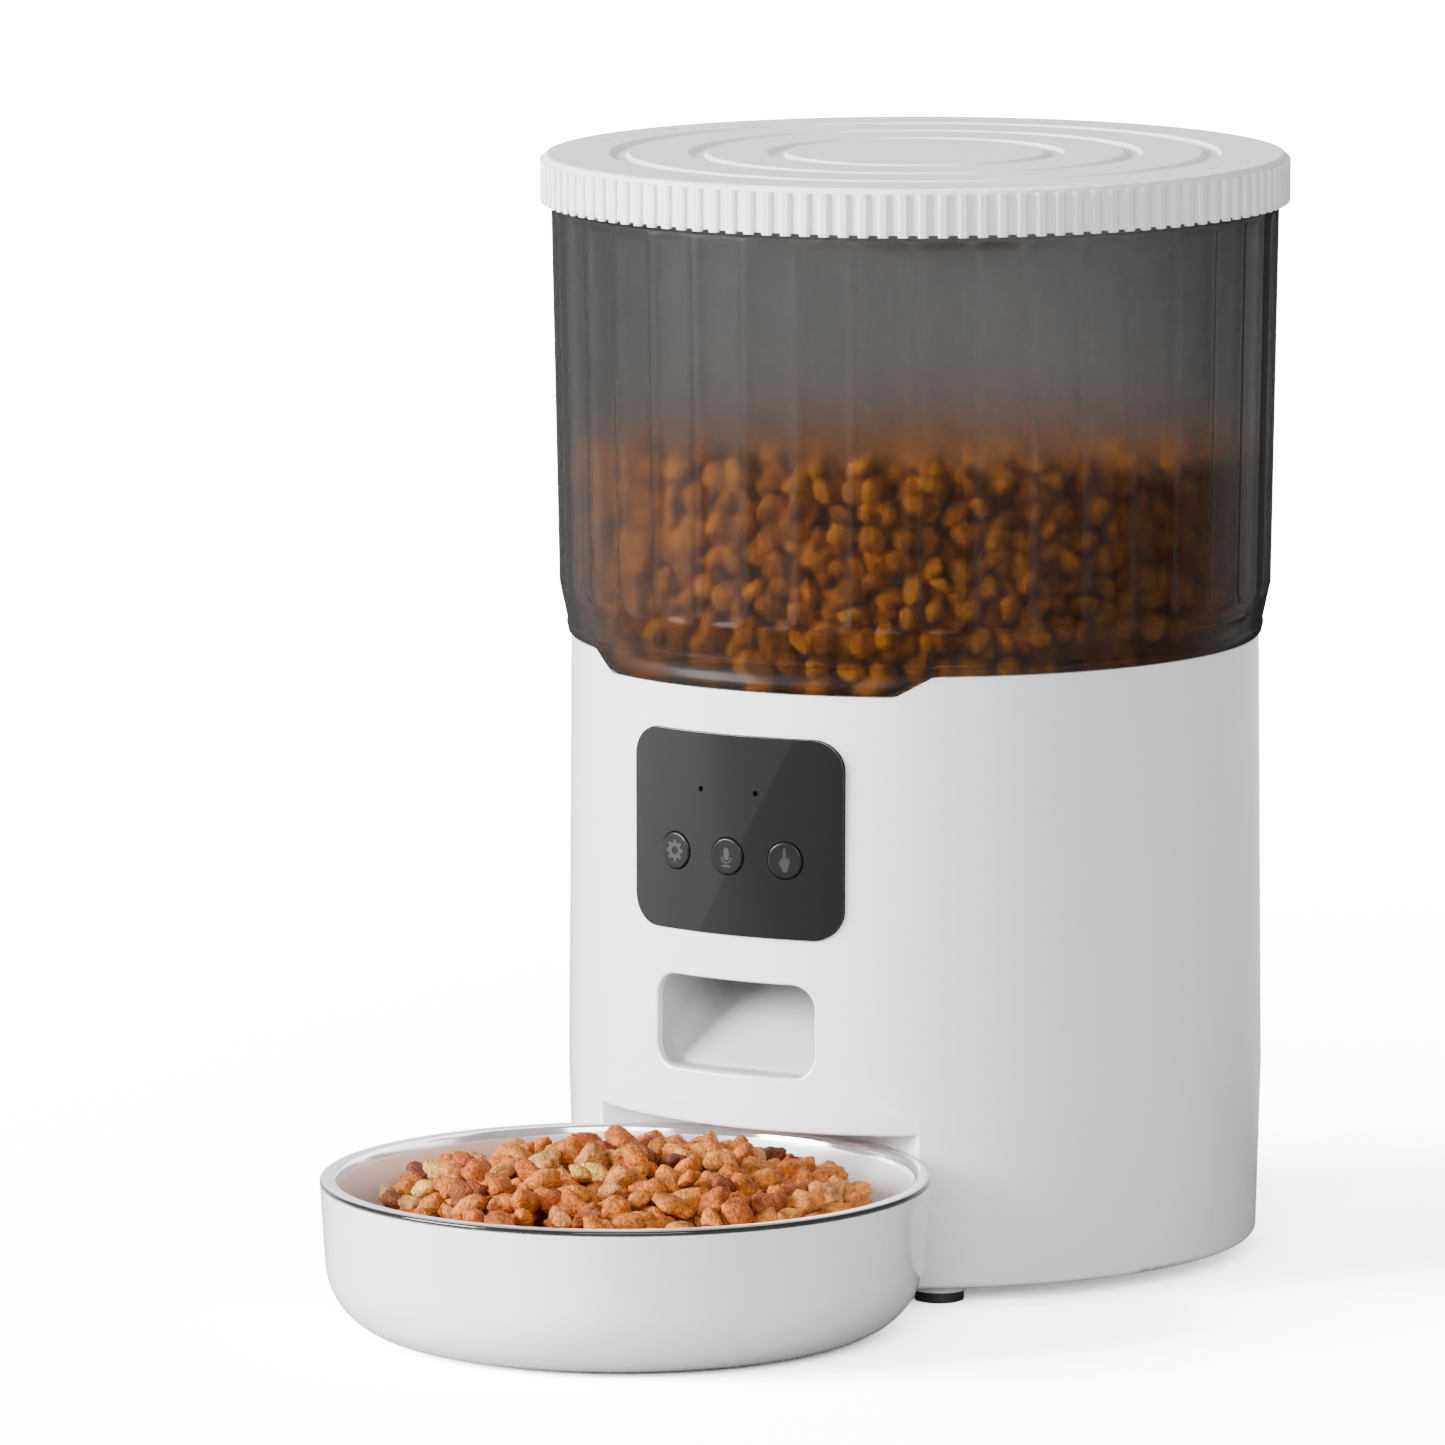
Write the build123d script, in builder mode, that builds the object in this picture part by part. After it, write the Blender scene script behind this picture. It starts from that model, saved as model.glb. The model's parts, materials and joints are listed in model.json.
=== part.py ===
"""Automatic pet feeder: a round body with a bowl bay, a lift-off hopper with a twist lid, and a
portion rotor that a geared motor turns.

Every piece is drawn in millimetres about the body's upright axis, with the floor at z = 0 and the
front towards -Y. save() then sets it down in the frame of the finished part, whose origin is the
middle of the footprint at floor level.
"""

import os
from math import acos, atan2, cos, degrees, hypot, pi, radians, sin, tan

from build123d import *

os.makedirs("parts", exist_ok=True)

# ---------------------------------------------------------------- driving dimensions
# body shell
WALL = 2.4
BASE_Z = 5.0
WAIST_Z = 52.0
RIM_Z = 171.2
BASE_FOOT_R = 94.1
BASE_WAIST_R = 95.45
BASE_RIM_R = 94.4

# hopper
SHOULDER_Z = 185.3
SHOULDER_R = 97.6
HOPPER_TOP_R = 99.5
HOPPER_LIP_Z = 289.0
HOPPER_WALL = 2.2
NECK_R = 97.4
NECK_TOP = 299.2
THROAT_R = 53.0

# lid
LID_R = 102.5
LID_TOP = 303.0
LID_SKIRT_Z = 290.0
LID_RIBS = 120
LID_RIB_HEIGHT = 1.0
LID_SKIRT_IN_R = 100.3

# bowl
BOWL_REACH = 146.6
BOWL_R = 81.2
BOWL_HEIGHT = 42.0
HOLDER_TOP = 40.3
BAY_R = 83.2
BAY_TOP = 46.8

# rotor chamber
WELL_R = 56.0
WELL_WALL = 2.4
WELL_FLOOR = 117.4
WELL_FLOOR_THICK = 2.6
DECK_Z = 152.0
DECK_THICK = 2.2
ROTOR_R = 54.6
ROTOR_Z0 = 118.2
ROTOR_Z1 = 146.2
VANES = 6

# discharge chute
OUTLET_W = 49.8
OUTLET_Z0 = 61.5
OUTLET_Z1 = 87.0
OUTLET_CORNER = 6.5

# control panel
PANEL_W = 66.0
PANEL_H = 54.3
PANEL_CORNER = 8.5
PANEL_Z = 126.7
PANEL_IN_R = 93.6
PANEL_OUT_R = 95.75
BUTTON_R = 5.0
BUTTON_Z = 121.0
BUTTON_PITCH = 17.4
BUTTON_GAP = 0.25
PINHOLE_Z = 138.6
PINHOLE_X = 8.7
PINHOLE_R = 0.75

# gear train
MODULE = 0.9
PRESSURE_ANGLE = 20.0
PINION_TEETH = 12
WHEEL_TEETH = 36
ADDENDUM = 0.8 * MODULE
DEDENDUM = 1.15 * MODULE
TOOTH_THINNING = 0.12

# fits
SLIP = 0.3
RUNNING = 0.06

FAR = 120.0
FOOTPRINT_MIDDLE = (LID_R - (BOWL_REACH + BOWL_R)) / 2
PART_FRAME = Location((0, -FOOTPRINT_MIDDLE, 0))


def save(piece, name):
    """Carry a finished piece into the part's own frame, label it and write its STEP file."""
    placed = piece.part.moved(PART_FRAME)
    placed.label = name
    export_step(placed, f"parts/{name}.step")


def base_radius(z):
    """Outside radius of the body shell at height z."""
    if z < WAIST_Z:
        return BASE_FOOT_R + (BASE_WAIST_R - BASE_FOOT_R) * (z - BASE_Z) / (WAIST_Z - BASE_Z)
    return BASE_WAIST_R + (BASE_RIM_R - BASE_WAIST_R) * (z - WAIST_Z) / (RIM_Z - WAIST_Z)


def on_outer_wall(edge, low, high):
    """Whether an edge lies on the front of the body's outer wall, between two heights."""
    points = [edge @ 0, edge @ 0.5, edge @ 1]
    on_wall = all(abs(hypot(p.X, p.Y) - base_radius(p.Z)) < 0.05 for p in points)
    return on_wall and all(low < p.Z < high and p.Y < -70 for p in points)


def curved_slab(outline, inner_radius, outer_radius):
    """The stretch of an upright tube's wall that lies behind an outline drawn in front of it."""
    with BuildPart() as slab:
        with BuildSketch(Plane.XY):
            Circle(outer_radius)
            Circle(inner_radius, mode=Mode.SUBTRACT)
        extrude(amount=LID_TOP)
        extrude(outline, amount=-FAR, mode=Mode.INTERSECT)
    return slab.part


def front_rectangle(width, height, corner, z):
    """A rounded rectangle drawn in front of the body, centred at height z."""
    with BuildSketch(Plane.XZ.offset(FAR)) as drawn:
        with Locations((0, z)):
            RectangleRounded(width, height, corner)
    return drawn.sketch


# ---------------------------------------------------------------- hopper tab, shared with the base's rim
TAB_DROP = 5.2
TAB_TOP_X = 53.4
TAB_FOOT_X = 44.8
TAB_BLEND = 5.0


def tab_outline(clearance):
    """The tab under the hopper's front edge, grown by a clearance."""
    foot = RIM_Z - TAB_DROP - clearance
    top = RIM_Z + 1.6
    slope = (TAB_TOP_X - TAB_FOOT_X) / TAB_DROP
    flare = TAB_TOP_X + slope * 1.6 + clearance
    with BuildSketch(Plane.XZ.offset(FAR)) as drawn:
        with BuildLine():
            FilletPolyline(
                (-flare, top),
                (-TAB_FOOT_X - clearance, foot),
                (TAB_FOOT_X + clearance, foot),
                (flare, top),
                radius=TAB_BLEND,
            )
            Line((flare, top), (-flare, top))
        make_face()
    return drawn.sketch


# ---------------------------------------------------------------- body shell
def polar(radius, azimuth):
    """The plan point at a radius and at an azimuth counted from the front, positive to the right."""
    return (radius * sin(radians(azimuth)), -radius * cos(radians(azimuth)))


POST_R = 3.6
POSTS = [polar(86.0, a) for a in (-155, -100, -60, 60, 100, 155)]
FOOT_PLACES = [polar(82.2, a) for a in (-130, -36.4, 36.4, 130)]
BOARD_POSTS = [(x, z) for x in (-23.5, 23.5) for z in (104.0, 148.0)]
BOARD_FRONT = 84.4
LEDGE_IN_R = 89.8
MAIN_BOARD_Y = 71.8
MAIN_POSTS = [(x, z) for x in (-28.0, 28.0) for z in (58.0, 98.0)]
JACK_Z = 20.0
TONGUE_W = 24.0
TONGUE_Z = 12.0
TONGUE_T = 2.4

panel_pocket = curved_slab(
    front_rectangle(PANEL_W + SLIP, PANEL_H + SLIP, PANEL_CORNER, PANEL_Z), PANEL_IN_R - 0.1, FAR
)
notch = curved_slab(tab_outline(0.25), BASE_RIM_R - WALL - 1, FAR)

with BuildPart() as base_shell:
    with BuildSketch(Plane.XZ):
        with BuildLine():
            Polyline(
                (BASE_FOOT_R, BASE_Z),
                (BASE_WAIST_R, WAIST_Z),
                (BASE_RIM_R, RIM_Z),
                (BASE_RIM_R - WALL, RIM_Z),
                (BASE_RIM_R - WALL, DECK_Z),
                (LEDGE_IN_R, DECK_Z),
                (LEDGE_IN_R, DECK_Z - 1.2),
                (BASE_RIM_R - WALL, DECK_Z - 3.4),
                (BASE_WAIST_R - WALL, WAIST_Z),
                (BASE_FOOT_R - WALL, BASE_Z),
                close=True,
            )
        make_face()
    revolve(axis=Axis.Z)
    fillet(base_shell.edges().group_by(Axis.Z)[0].sort_by(SortBy.RADIUS)[-1], radius=1.6)
    # bay for the bowl: a curved inner wall and a ceiling
    with BuildSketch(Plane.XY.offset(BASE_Z)):
        with Locations((0, -BOWL_REACH)):
            Circle(BAY_R + WALL)
        Circle(BASE_FOOT_R - 1.2, mode=Mode.INTERSECT)
    extrude(amount=BAY_TOP + WALL - BASE_Z)
    with BuildSketch(Plane.XY):
        with Locations((0, -BOWL_REACH)):
            Circle(BAY_R)
    extrude(amount=BAY_TOP, mode=Mode.SUBTRACT)
    # slot for the bowl holder's tongue
    with BuildSketch(Plane.XZ.offset(BOWL_REACH - BAY_R - 8)):
        with Locations((0, TONGUE_Z)):
            SlotOverall(TONGUE_W + 1.2, TONGUE_T + 1.2)
    extrude(amount=16, mode=Mode.SUBTRACT)
    # screw posts
    with BuildSketch(Plane.XY.offset(BASE_Z + 2.8)):
        with Locations(*POSTS):
            Circle(POST_R)
        for place in POSTS:
            reach = hypot(*place)
            with Locations(Location((place[0], place[1], 0), (0, 0, degrees(atan2(place[1], place[0]))))):
                Rectangle(base_radius(20) - 1 - reach, 3.0, align=(Align.MIN, Align.CENTER))
    extrude(amount=26)
    with Locations(*[(x, y, BASE_Z + 2.8) for x, y in POSTS]):
        Cylinder(1.2, 20, align=(Align.CENTER, Align.CENTER, Align.MIN), mode=Mode.SUBTRACT)
    # posts for the control board
    with BuildSketch(Plane.XZ.offset(BOARD_FRONT)):
        with Locations(*BOARD_POSTS):
            Circle(2.6)
    extrude(amount=5.6)
    with BuildSketch(Plane.XZ.offset(BOARD_FRONT)):
        with Locations(*BOARD_POSTS):
            Circle(0.9)
    extrude(amount=4.5, mode=Mode.SUBTRACT)
    # front openings: discharge mouth, panel pocket and the window behind it
    extrude(
        front_rectangle(OUTLET_W, OUTLET_Z1 - OUTLET_Z0, OUTLET_CORNER, (OUTLET_Z0 + OUTLET_Z1) / 2),
        amount=-40,
        mode=Mode.SUBTRACT,
    )
    outlet_edges = base_shell.edges().filter_by(lambda e: on_outer_wall(e, OUTLET_Z0 - 1, OUTLET_Z1 + 1))
    fillet(outlet_edges, radius=0.7)
    bay_edges = base_shell.edges().filter_by(lambda e: on_outer_wall(e, BASE_Z + 0.5, BAY_TOP + 0.1))
    fillet(bay_edges, radius=1.0)
    add(panel_pocket, mode=Mode.SUBTRACT)
    with BuildSketch(Plane.XZ.offset(FAR)):
        with Locations((0, PANEL_Z)):
            RectangleRounded(PANEL_W - 18, PANEL_H - 20, 3)
            with Locations((0, -5.7)):
                RectangleRounded(PANEL_W - 16, 15, 3)
    extrude(amount=-40, mode=Mode.SUBTRACT)
    add(notch, mode=Mode.SUBTRACT)
    # rear power opening
    with BuildSketch(Plane.XZ.offset(-FAR)):
        with Locations((0, JACK_Z)):
            SlotOverall(12.4, 7.0)
    extrude(amount=40, mode=Mode.SUBTRACT)
    # posts for the main board
    with BuildSketch(Plane.XZ.offset(-MAIN_BOARD_Y)):
        with Locations(*MAIN_POSTS):
            Circle(3.0)
    extrude(amount=-18.0)
    with BuildSketch(Plane.XZ.offset(-MAIN_BOARD_Y)):
        with Locations(*MAIN_POSTS):
            Circle(0.9)
    extrude(amount=-8, mode=Mode.SUBTRACT)
save(base_shell, "base_shell")

# ---------------------------------------------------------------- bottom cover and battery bay
COVER_R = BASE_FOOT_R - WALL - 0.3
COVER_T = 2.4
BAY_CLEAR = BAY_R + WALL + 0.4
CELL_R = 17.0
CELL_LENGTH = 60.5
CELL_PITCH = 35.2
CELL_Z = 26.2
TUB_X = 1.5 * CELL_PITCH + 0.6
TUB_Y0 = -19.0
TUB_Y1 = 48.0
TUB_TOP = 43.8
TUB_WALL = 1.8
DOOR_X = TUB_X - 2.0
DOOR_Y0 = TUB_Y0 + 2.0
DOOR_Y1 = TUB_Y1 - 2.0
SPEAKER_Y = -39.0
SPEAKER_R = 15.5
BOSS_R = 7.75

with BuildPart() as bottom_cover:
    with BuildSketch(Plane.XY.offset(BASE_Z)):
        Circle(COVER_R)
        with Locations((0, -BOWL_REACH)):
            Circle(BAY_CLEAR, mode=Mode.SUBTRACT)
    extrude(amount=COVER_T)
    # battery tub
    tub_middle = (0, (TUB_Y0 + TUB_Y1) / 2)
    with BuildSketch(Plane.XY.offset(BASE_Z)):
        with Locations(tub_middle):
            RectangleRounded(2 * (TUB_X + TUB_WALL), TUB_Y1 - TUB_Y0 + 2 * TUB_WALL, 3)
    extrude(amount=TUB_TOP + TUB_WALL - BASE_Z)
    with BuildSketch(Plane.XY.offset(BASE_Z + COVER_T)):
        with Locations(tub_middle):
            Rectangle(2 * TUB_X, TUB_Y1 - TUB_Y0)
    extrude(amount=TUB_TOP - BASE_Z - COVER_T, mode=Mode.SUBTRACT)
    with BuildSketch(Plane.XY):
        with Locations((0, (DOOR_Y0 + DOOR_Y1) / 2)):
            Rectangle(2 * DOOR_X, DOOR_Y1 - DOOR_Y0)
    extrude(amount=BASE_Z + COVER_T, mode=Mode.SUBTRACT)
    # foot bosses
    with BuildSketch(Plane.XY.offset(BASE_Z)):
        with Locations(*FOOT_PLACES):
            Circle(BOSS_R)
    extrude(amount=-2.0, taper=12)
    # speaker collar and its sound slots
    with BuildSketch(Plane.XY.offset(BASE_Z + COVER_T)):
        with Locations((0, SPEAKER_Y)):
            Circle(SPEAKER_R + 1.8)
            Circle(SPEAKER_R + 0.2, mode=Mode.SUBTRACT)
    extrude(amount=3.0)
    with BuildSketch(Plane.XY):
        with Locations((0, SPEAKER_Y)):
            with GridLocations(0, 4.2, 1, 5):
                SlotOverall(19.0, 1.8)
    extrude(amount=BASE_Z + COVER_T, mode=Mode.SUBTRACT)
    # screw holes, with seats for the heads
    with Locations(*[(x, y, BASE_Z) for x, y in POSTS]):
        Cylinder(1.7, 4 * COVER_T, mode=Mode.SUBTRACT)
        Cylinder(3.3, 2.4, mode=Mode.SUBTRACT)
save(bottom_cover, "bottom_cover")

with BuildPart() as foot_pads:
    with BuildSketch(Plane.XY):
        with Locations(*FOOT_PLACES):
            Circle(6.7)
    extrude(amount=3.0)
    fillet(foot_pads.edges().group_by(Axis.Z)[0], radius=0.6)
save(foot_pads, "foot_pads")

with BuildPart() as cover_screws:
    with BuildSketch(Plane.XY.offset(BASE_Z + 0.3)):
        with Locations(*POSTS):
            Circle(2.9)
    extrude(amount=0.85)
    chamfer(cover_screws.edges().group_by(Axis.Z)[0], length=0.3)
    with BuildSketch(Plane.XY.offset(BASE_Z + 1.1)):
        with Locations(*POSTS):
            Circle(1.15)
    extrude(amount=15)
    with BuildSketch(Plane.XY.offset(BASE_Z + 0.3)):
        with Locations(*POSTS):
            Rectangle(3.2, 0.7)
            Rectangle(0.7, 3.2)
    extrude(amount=0.6, mode=Mode.SUBTRACT)
save(cover_screws, "cover_screws")

# the door turns about its rounded rear edge
HINGE_Y = DOOR_Y1 - 1.9
HINGE_Z = BASE_Z + COVER_T / 2
with BuildPart() as battery_door:
    with BuildSketch(Plane.YZ.offset(-(DOOR_X - SLIP))):
        with BuildLine():
            Polyline(
                (HINGE_Y, HINGE_Z - COVER_T / 2),
                (DOOR_Y0 + SLIP, HINGE_Z - COVER_T / 2),
                (DOOR_Y0 + SLIP, HINGE_Z + COVER_T / 2),
                (HINGE_Y, HINGE_Z + COVER_T / 2),
            )
            ThreePointArc(
                (HINGE_Y, HINGE_Z + COVER_T / 2),
                (HINGE_Y + COVER_T / 2, HINGE_Z),
                (HINGE_Y, HINGE_Z - COVER_T / 2),
            )
        make_face()
    extrude(amount=2 * (DOOR_X - SLIP))
    # finger recess with a grip bar
    with BuildSketch(Plane.XY.offset(HINGE_Z - COVER_T / 2)):
        with Locations((0, DOOR_Y0 + 9)):
            SlotOverall(22, 9)
            SlotOverall(18, 2.2, mode=Mode.SUBTRACT)
    extrude(amount=1.3, mode=Mode.SUBTRACT)
save(battery_door, "battery_door")

CELL_PLACES = [(-CELL_PITCH, 1), (0, -1), (CELL_PITCH, 1)]
with BuildPart() as battery_cells:
    for x, way in CELL_PLACES:
        middle = (TUB_Y0 + TUB_Y1) / 2
        with BuildSketch(Plane.XZ.offset(-middle + CELL_LENGTH / 2 - 1.2)):
            with Locations((x, CELL_Z)):
                Circle(CELL_R)
        extrude(amount=-(CELL_LENGTH - 2.4))
    fillet(battery_cells.edges().filter_by(GeomType.CIRCLE), radius=1.2)
    for x, way in CELL_PLACES:
        with BuildSketch(Plane.XZ.offset(-middle - way * (CELL_LENGTH / 2 - 1.2))):
            with Locations((x, CELL_Z)):
                Circle(5.0)
        extrude(amount=-way * 1.2)
save(battery_cells, "battery_cells")

with BuildPart() as battery_contacts:
    for x, way in CELL_PLACES:
        wall_y = TUB_Y1 if way > 0 else TUB_Y0
        with BuildSketch(Plane.XZ.offset(-wall_y)):
            with Locations((x, CELL_Z)):
                RectangleRounded(16, 16, 2)
        extrude(amount=way * 0.5)
        with BuildSketch(Plane.XZ.offset(-wall_y + way * 0.5)):
            with Locations((x, CELL_Z)):
                Circle(4.0)
        extrude(amount=way * 1.4)
save(battery_contacts, "battery_contacts")

SPRING_WIRE = 0.45
with BuildPart() as battery_springs:
    for x, way in CELL_PLACES:
        wall_y = TUB_Y0 if way > 0 else TUB_Y1
        with BuildSketch(Plane.XZ.offset(-wall_y)):
            with Locations((x, CELL_Z)):
                RectangleRounded(16, 16, 2)
        extrude(amount=-way * 0.5)
        for turn in range(3):
            ring_y = wall_y + way * (0.9 + 0.8 * turn)
            with Locations(Location((x, ring_y, CELL_Z), (90, 0, 0))):
                Torus(5.6 - 0.9 * turn, SPRING_WIRE)
save(battery_springs, "battery_springs")

# ---------------------------------------------------------------- rotor chamber and deck
OUTLET_SECTOR = 25.5
OUTLET_IN_R = 25.0
OUTLET_OUT_R = 55.0
GUARD_SECTOR = 37.0
GUARD_Z = 147.2
GUARD_T = 1.8
DECK_R = BASE_RIM_R - WALL - 0.3
SHAFT_R = 4.0
BUSH_R = 6.2


def sector(inner_radius, outer_radius, half_angle, z):
    """A ring's sector that is centred on the front, drawn at height z."""
    left_in = polar(inner_radius, -half_angle)
    right_in = polar(inner_radius, half_angle)
    left_out = polar(outer_radius, -half_angle)
    right_out = polar(outer_radius, half_angle)
    with BuildSketch(Plane.XY.offset(z)) as drawn:
        with BuildLine():
            ThreePointArc(left_out, (0, -outer_radius), right_out)
            Line(right_out, right_in)
            ThreePointArc(right_in, (0, -inner_radius), left_in)
            Line(left_in, left_out)
        make_face()
    return drawn.sketch


with BuildPart() as dispenser_well:
    with BuildSketch(Plane.XZ):
        with BuildLine():
            Polyline(
                (BUSH_R, WELL_FLOOR - WELL_FLOOR_THICK),
                (WELL_R + WELL_WALL, WELL_FLOOR - WELL_FLOOR_THICK),
                (WELL_R + WELL_WALL, DECK_Z),
                (DECK_R, DECK_Z),
                (DECK_R, DECK_Z + DECK_THICK),
                (WELL_R + WELL_WALL + 2.4, DECK_Z + DECK_THICK),
                (WELL_R, DECK_Z + 0.6),
                (WELL_R, WELL_FLOOR),
                (BUSH_R, WELL_FLOOR),
                close=True,
            )
        make_face()
    revolve(axis=Axis.Z)
    extrude(
        sector(OUTLET_IN_R, OUTLET_OUT_R, OUTLET_SECTOR, WELL_FLOOR - WELL_FLOOR_THICK),
        amount=WELL_FLOOR_THICK,
        mode=Mode.SUBTRACT,
    )
    # stiffening ribs under the deck
    with BuildSketch(Plane.XY.offset(DECK_Z - 6)):
        for azimuth in (60, 120, 180, 240, 300):
            with Locations(Location((0, 0, 0), (0, 0, azimuth - 90))):
                with Locations((WELL_R + 0.6, 0)):
                    Rectangle(DECK_R - WELL_R - 6, 1.8, align=(Align.MIN, Align.CENTER))
    extrude(amount=6)
save(dispenser_well, "dispenser_well")

with BuildPart() as portion_guard:
    extrude(sector(14.0, WELL_R, GUARD_SECTOR, GUARD_Z), amount=GUARD_T)
    fillet(portion_guard.edges().filter_by(Axis.Z).group_by(Axis.Y)[-1], radius=2)
save(portion_guard, "portion_guard")

with BuildPart() as scraper_strips:
    for side in (-1, 1):
        with Locations(Location((0, 0, GUARD_Z - 0.65), (0, 0, -90 + side * (GUARD_SECTOR - 3)))):
            Box(54, 3.0, 0.65, align=(Align.MIN, Align.CENTER, Align.MIN))
    with BuildSketch(Plane.XY.offset(GUARD_Z - 1)):
        Circle(16.5)
    extrude(amount=2, mode=Mode.SUBTRACT)
save(scraper_strips, "scraper_strips")

HEX_R = 5.2
HEX_TOP = 141.0
with BuildPart() as portion_rotor:
    with BuildSketch(Plane.XY.offset(ROTOR_Z0)):
        Circle(11.0)
        with PolarLocations(0, VANES):
            Rectangle(ROTOR_R, 2.2, align=(Align.MIN, Align.CENTER))
    extrude(amount=ROTOR_Z1 - ROTOR_Z0)
    with BuildSketch(Plane.XY.offset(ROTOR_Z0)):
        RegularPolygon(HEX_R + 0.12, 6)
    extrude(amount=HEX_TOP - ROTOR_Z0 + 0.2, mode=Mode.SUBTRACT)
save(portion_rotor, "portion_rotor")

# ---------------------------------------------------------------- discharge chute
CHUTE_FRONT_R = 92.5
CHUTE_BEND_Y = -87.0
CHUTE_TOP_Z = WELL_FLOOR - WELL_FLOOR_THICK
with BuildPart() as chute_cavity:
    with BuildSketch(Plane.YZ.offset(-OUTLET_W / 2)):
        Polygon(
            (CHUTE_BEND_Y, OUTLET_Z0),
            (-22.6, CHUTE_TOP_Z),
            (-57.5, CHUTE_TOP_Z),
            (-78, OUTLET_Z1),
            (CHUTE_BEND_Y, OUTLET_Z1),
            align=None,
        )
    extrude(amount=OUTLET_W)
    fillet(chute_cavity.edges().group_by(SortBy.LENGTH)[-1], radius=5.0)
    extrude(
        front_rectangle(OUTLET_W, OUTLET_Z1 - OUTLET_Z0, OUTLET_CORNER, (OUTLET_Z0 + OUTLET_Z1) / 2),
        amount=-(FAR + CHUTE_BEND_Y + 1.5),
    )

with BuildPart() as discharge_chute:
    with BuildSketch(Plane.YZ.offset(-OUTLET_W / 2 - 1.8)):
        Polygon(
            (-100, OUTLET_Z0 - 2.2),
            (CHUTE_BEND_Y, OUTLET_Z0 - 2.2),
            (-19.8, CHUTE_TOP_Z),
            (-59.7, CHUTE_TOP_Z),
            (-79, OUTLET_Z1 + 1.8),
            (-100, OUTLET_Z1 + 1.8),
            align=None,
        )
    extrude(amount=OUTLET_W + 3.6)
    Cylinder(CHUTE_FRONT_R, 4 * FAR, mode=Mode.INTERSECT)
    add(chute_cavity.part, mode=Mode.SUBTRACT)
save(discharge_chute, "discharge_chute")

# ---------------------------------------------------------------- gear train
GEAR_SPACING = MODULE * (PINION_TEETH + WHEEL_TEETH) / 2
CASE_Z = 92.4
CASE_T = 2.0
LEVELS = [(95.2, 99.6), (100.4, 104.8), (105.8, 110.8)]
IDLER_B = (GEAR_SPACING * cos(radians(30)), GEAR_SPACING * sin(radians(30)))
IDLER_A = (0.0, GEAR_SPACING)
MOTOR = (-IDLER_B[0], IDLER_B[1])
PIN_R = 1.5
CASE_R = 18.6


def gear_outline(teeth, facing, tooth_there, z):
    """A gear's outline. Towards the angle facing, it has a tooth, or the gap between two."""
    pitch_radius = MODULE * teeth / 2
    base = pitch_radius * cos(radians(PRESSURE_ANGLE))
    tip = pitch_radius + ADDENDUM
    root = pitch_radius - DEDENDUM
    pressure = radians(PRESSURE_ANGLE)
    half_tooth = (pi * MODULE / 2 - TOOTH_THINNING) / (2 * pitch_radius) + tan(pressure) - pressure
    start = radians(facing) if tooth_there else radians(facing) + pi / teeth

    def flank(radius):
        """Half the tooth's angle at a radius."""
        roll = acos(min(1.0, base / max(radius, base)))
        return half_tooth - (tan(roll) - roll)

    radii = [root, max(base, root), pitch_radius, (pitch_radius + tip) / 2, tip]
    points = []
    for tooth in range(teeth):
        centre = start + 2 * pi * tooth / teeth
        for radius in radii:
            angle = centre - flank(radius)
            points.append((radius * cos(angle), radius * sin(angle)))
        for radius in reversed(radii):
            angle = centre + flank(radius)
            points.append((radius * cos(angle), radius * sin(angle)))
    with BuildSketch(Plane.XY.offset(z)) as drawn:
        Polygon(*points, align=None)
    return drawn.sketch


def gear(teeth, level, facing, tooth_there, centre=(0, 0)):
    """One gear that fills a level of the train, turning about an upright axis at centre."""
    low, high = LEVELS[level]
    with BuildPart() as toothed:
        extrude(gear_outline(teeth, facing, tooth_there, low), amount=high - low)
    return toothed.part.moved(Location((centre[0], centre[1], 0)))


with BuildPart() as output_gear:
    add(gear(WHEEL_TEETH, 2, 30, True))
    with BuildSketch(Plane.XY.offset(LEVELS[2][0])):
        Circle(SHAFT_R)
    extrude(amount=LEVELS[2][1] - LEVELS[2][0], mode=Mode.SUBTRACT)
save(output_gear, "output_gear")

with BuildPart() as drive_shaft:
    with BuildSketch(Plane.XY.offset(CASE_Z + 0.3)):
        Circle(2.5)
    extrude(amount=LEVELS[2][0] - CASE_Z - 0.3)
    with BuildSketch(Plane.XY.offset(LEVELS[2][0])):
        Circle(SHAFT_R)
    extrude(amount=ROTOR_Z0 - LEVELS[2][0])
    with BuildSketch(Plane.XY.offset(ROTOR_Z0)):
        RegularPolygon(HEX_R, 6)
    extrude(amount=HEX_TOP - ROTOR_Z0)
save(drive_shaft, "drive_shaft")

with BuildPart() as idler_gear_b:
    add(gear(WHEEL_TEETH, 1, 150, True, IDLER_B))
    add(gear(PINION_TEETH, 2, 210, False, IDLER_B))
    with Locations(IDLER_B):
        with Locations((0, 0, LEVELS[0][0])):
            Cylinder(3.0, LEVELS[2][0] - LEVELS[0][0], align=(Align.CENTER, Align.CENTER, Align.MIN))
        Cylinder(PIN_R + RUNNING, 4 * FAR, mode=Mode.SUBTRACT)
save(idler_gear_b, "idler_gear_b")

with BuildPart() as idler_gear_a:
    add(gear(WHEEL_TEETH, 0, 210, True, IDLER_A))
    add(gear(PINION_TEETH, 1, 330, False, IDLER_A))
    with Locations(IDLER_A):
        with Locations((0, 0, LEVELS[0][0])):
            Cylinder(3.0, LEVELS[1][0] - LEVELS[0][0], align=(Align.CENTER, Align.CENTER, Align.MIN))
        Cylinder(PIN_R + RUNNING, 4 * FAR, mode=Mode.SUBTRACT)
save(idler_gear_a, "idler_gear_a")

with BuildPart() as motor_pinion:
    add(gear(PINION_TEETH, 0, 30, False, MOTOR))
    with Locations(MOTOR):
        with Locations((0, 0, CASE_Z - 10)):
            Cylinder(1.0, LEVELS[0][1] - CASE_Z + 10, align=(Align.CENTER, Align.CENTER, Align.MIN))
save(motor_pinion, "motor_pinion")

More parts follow.
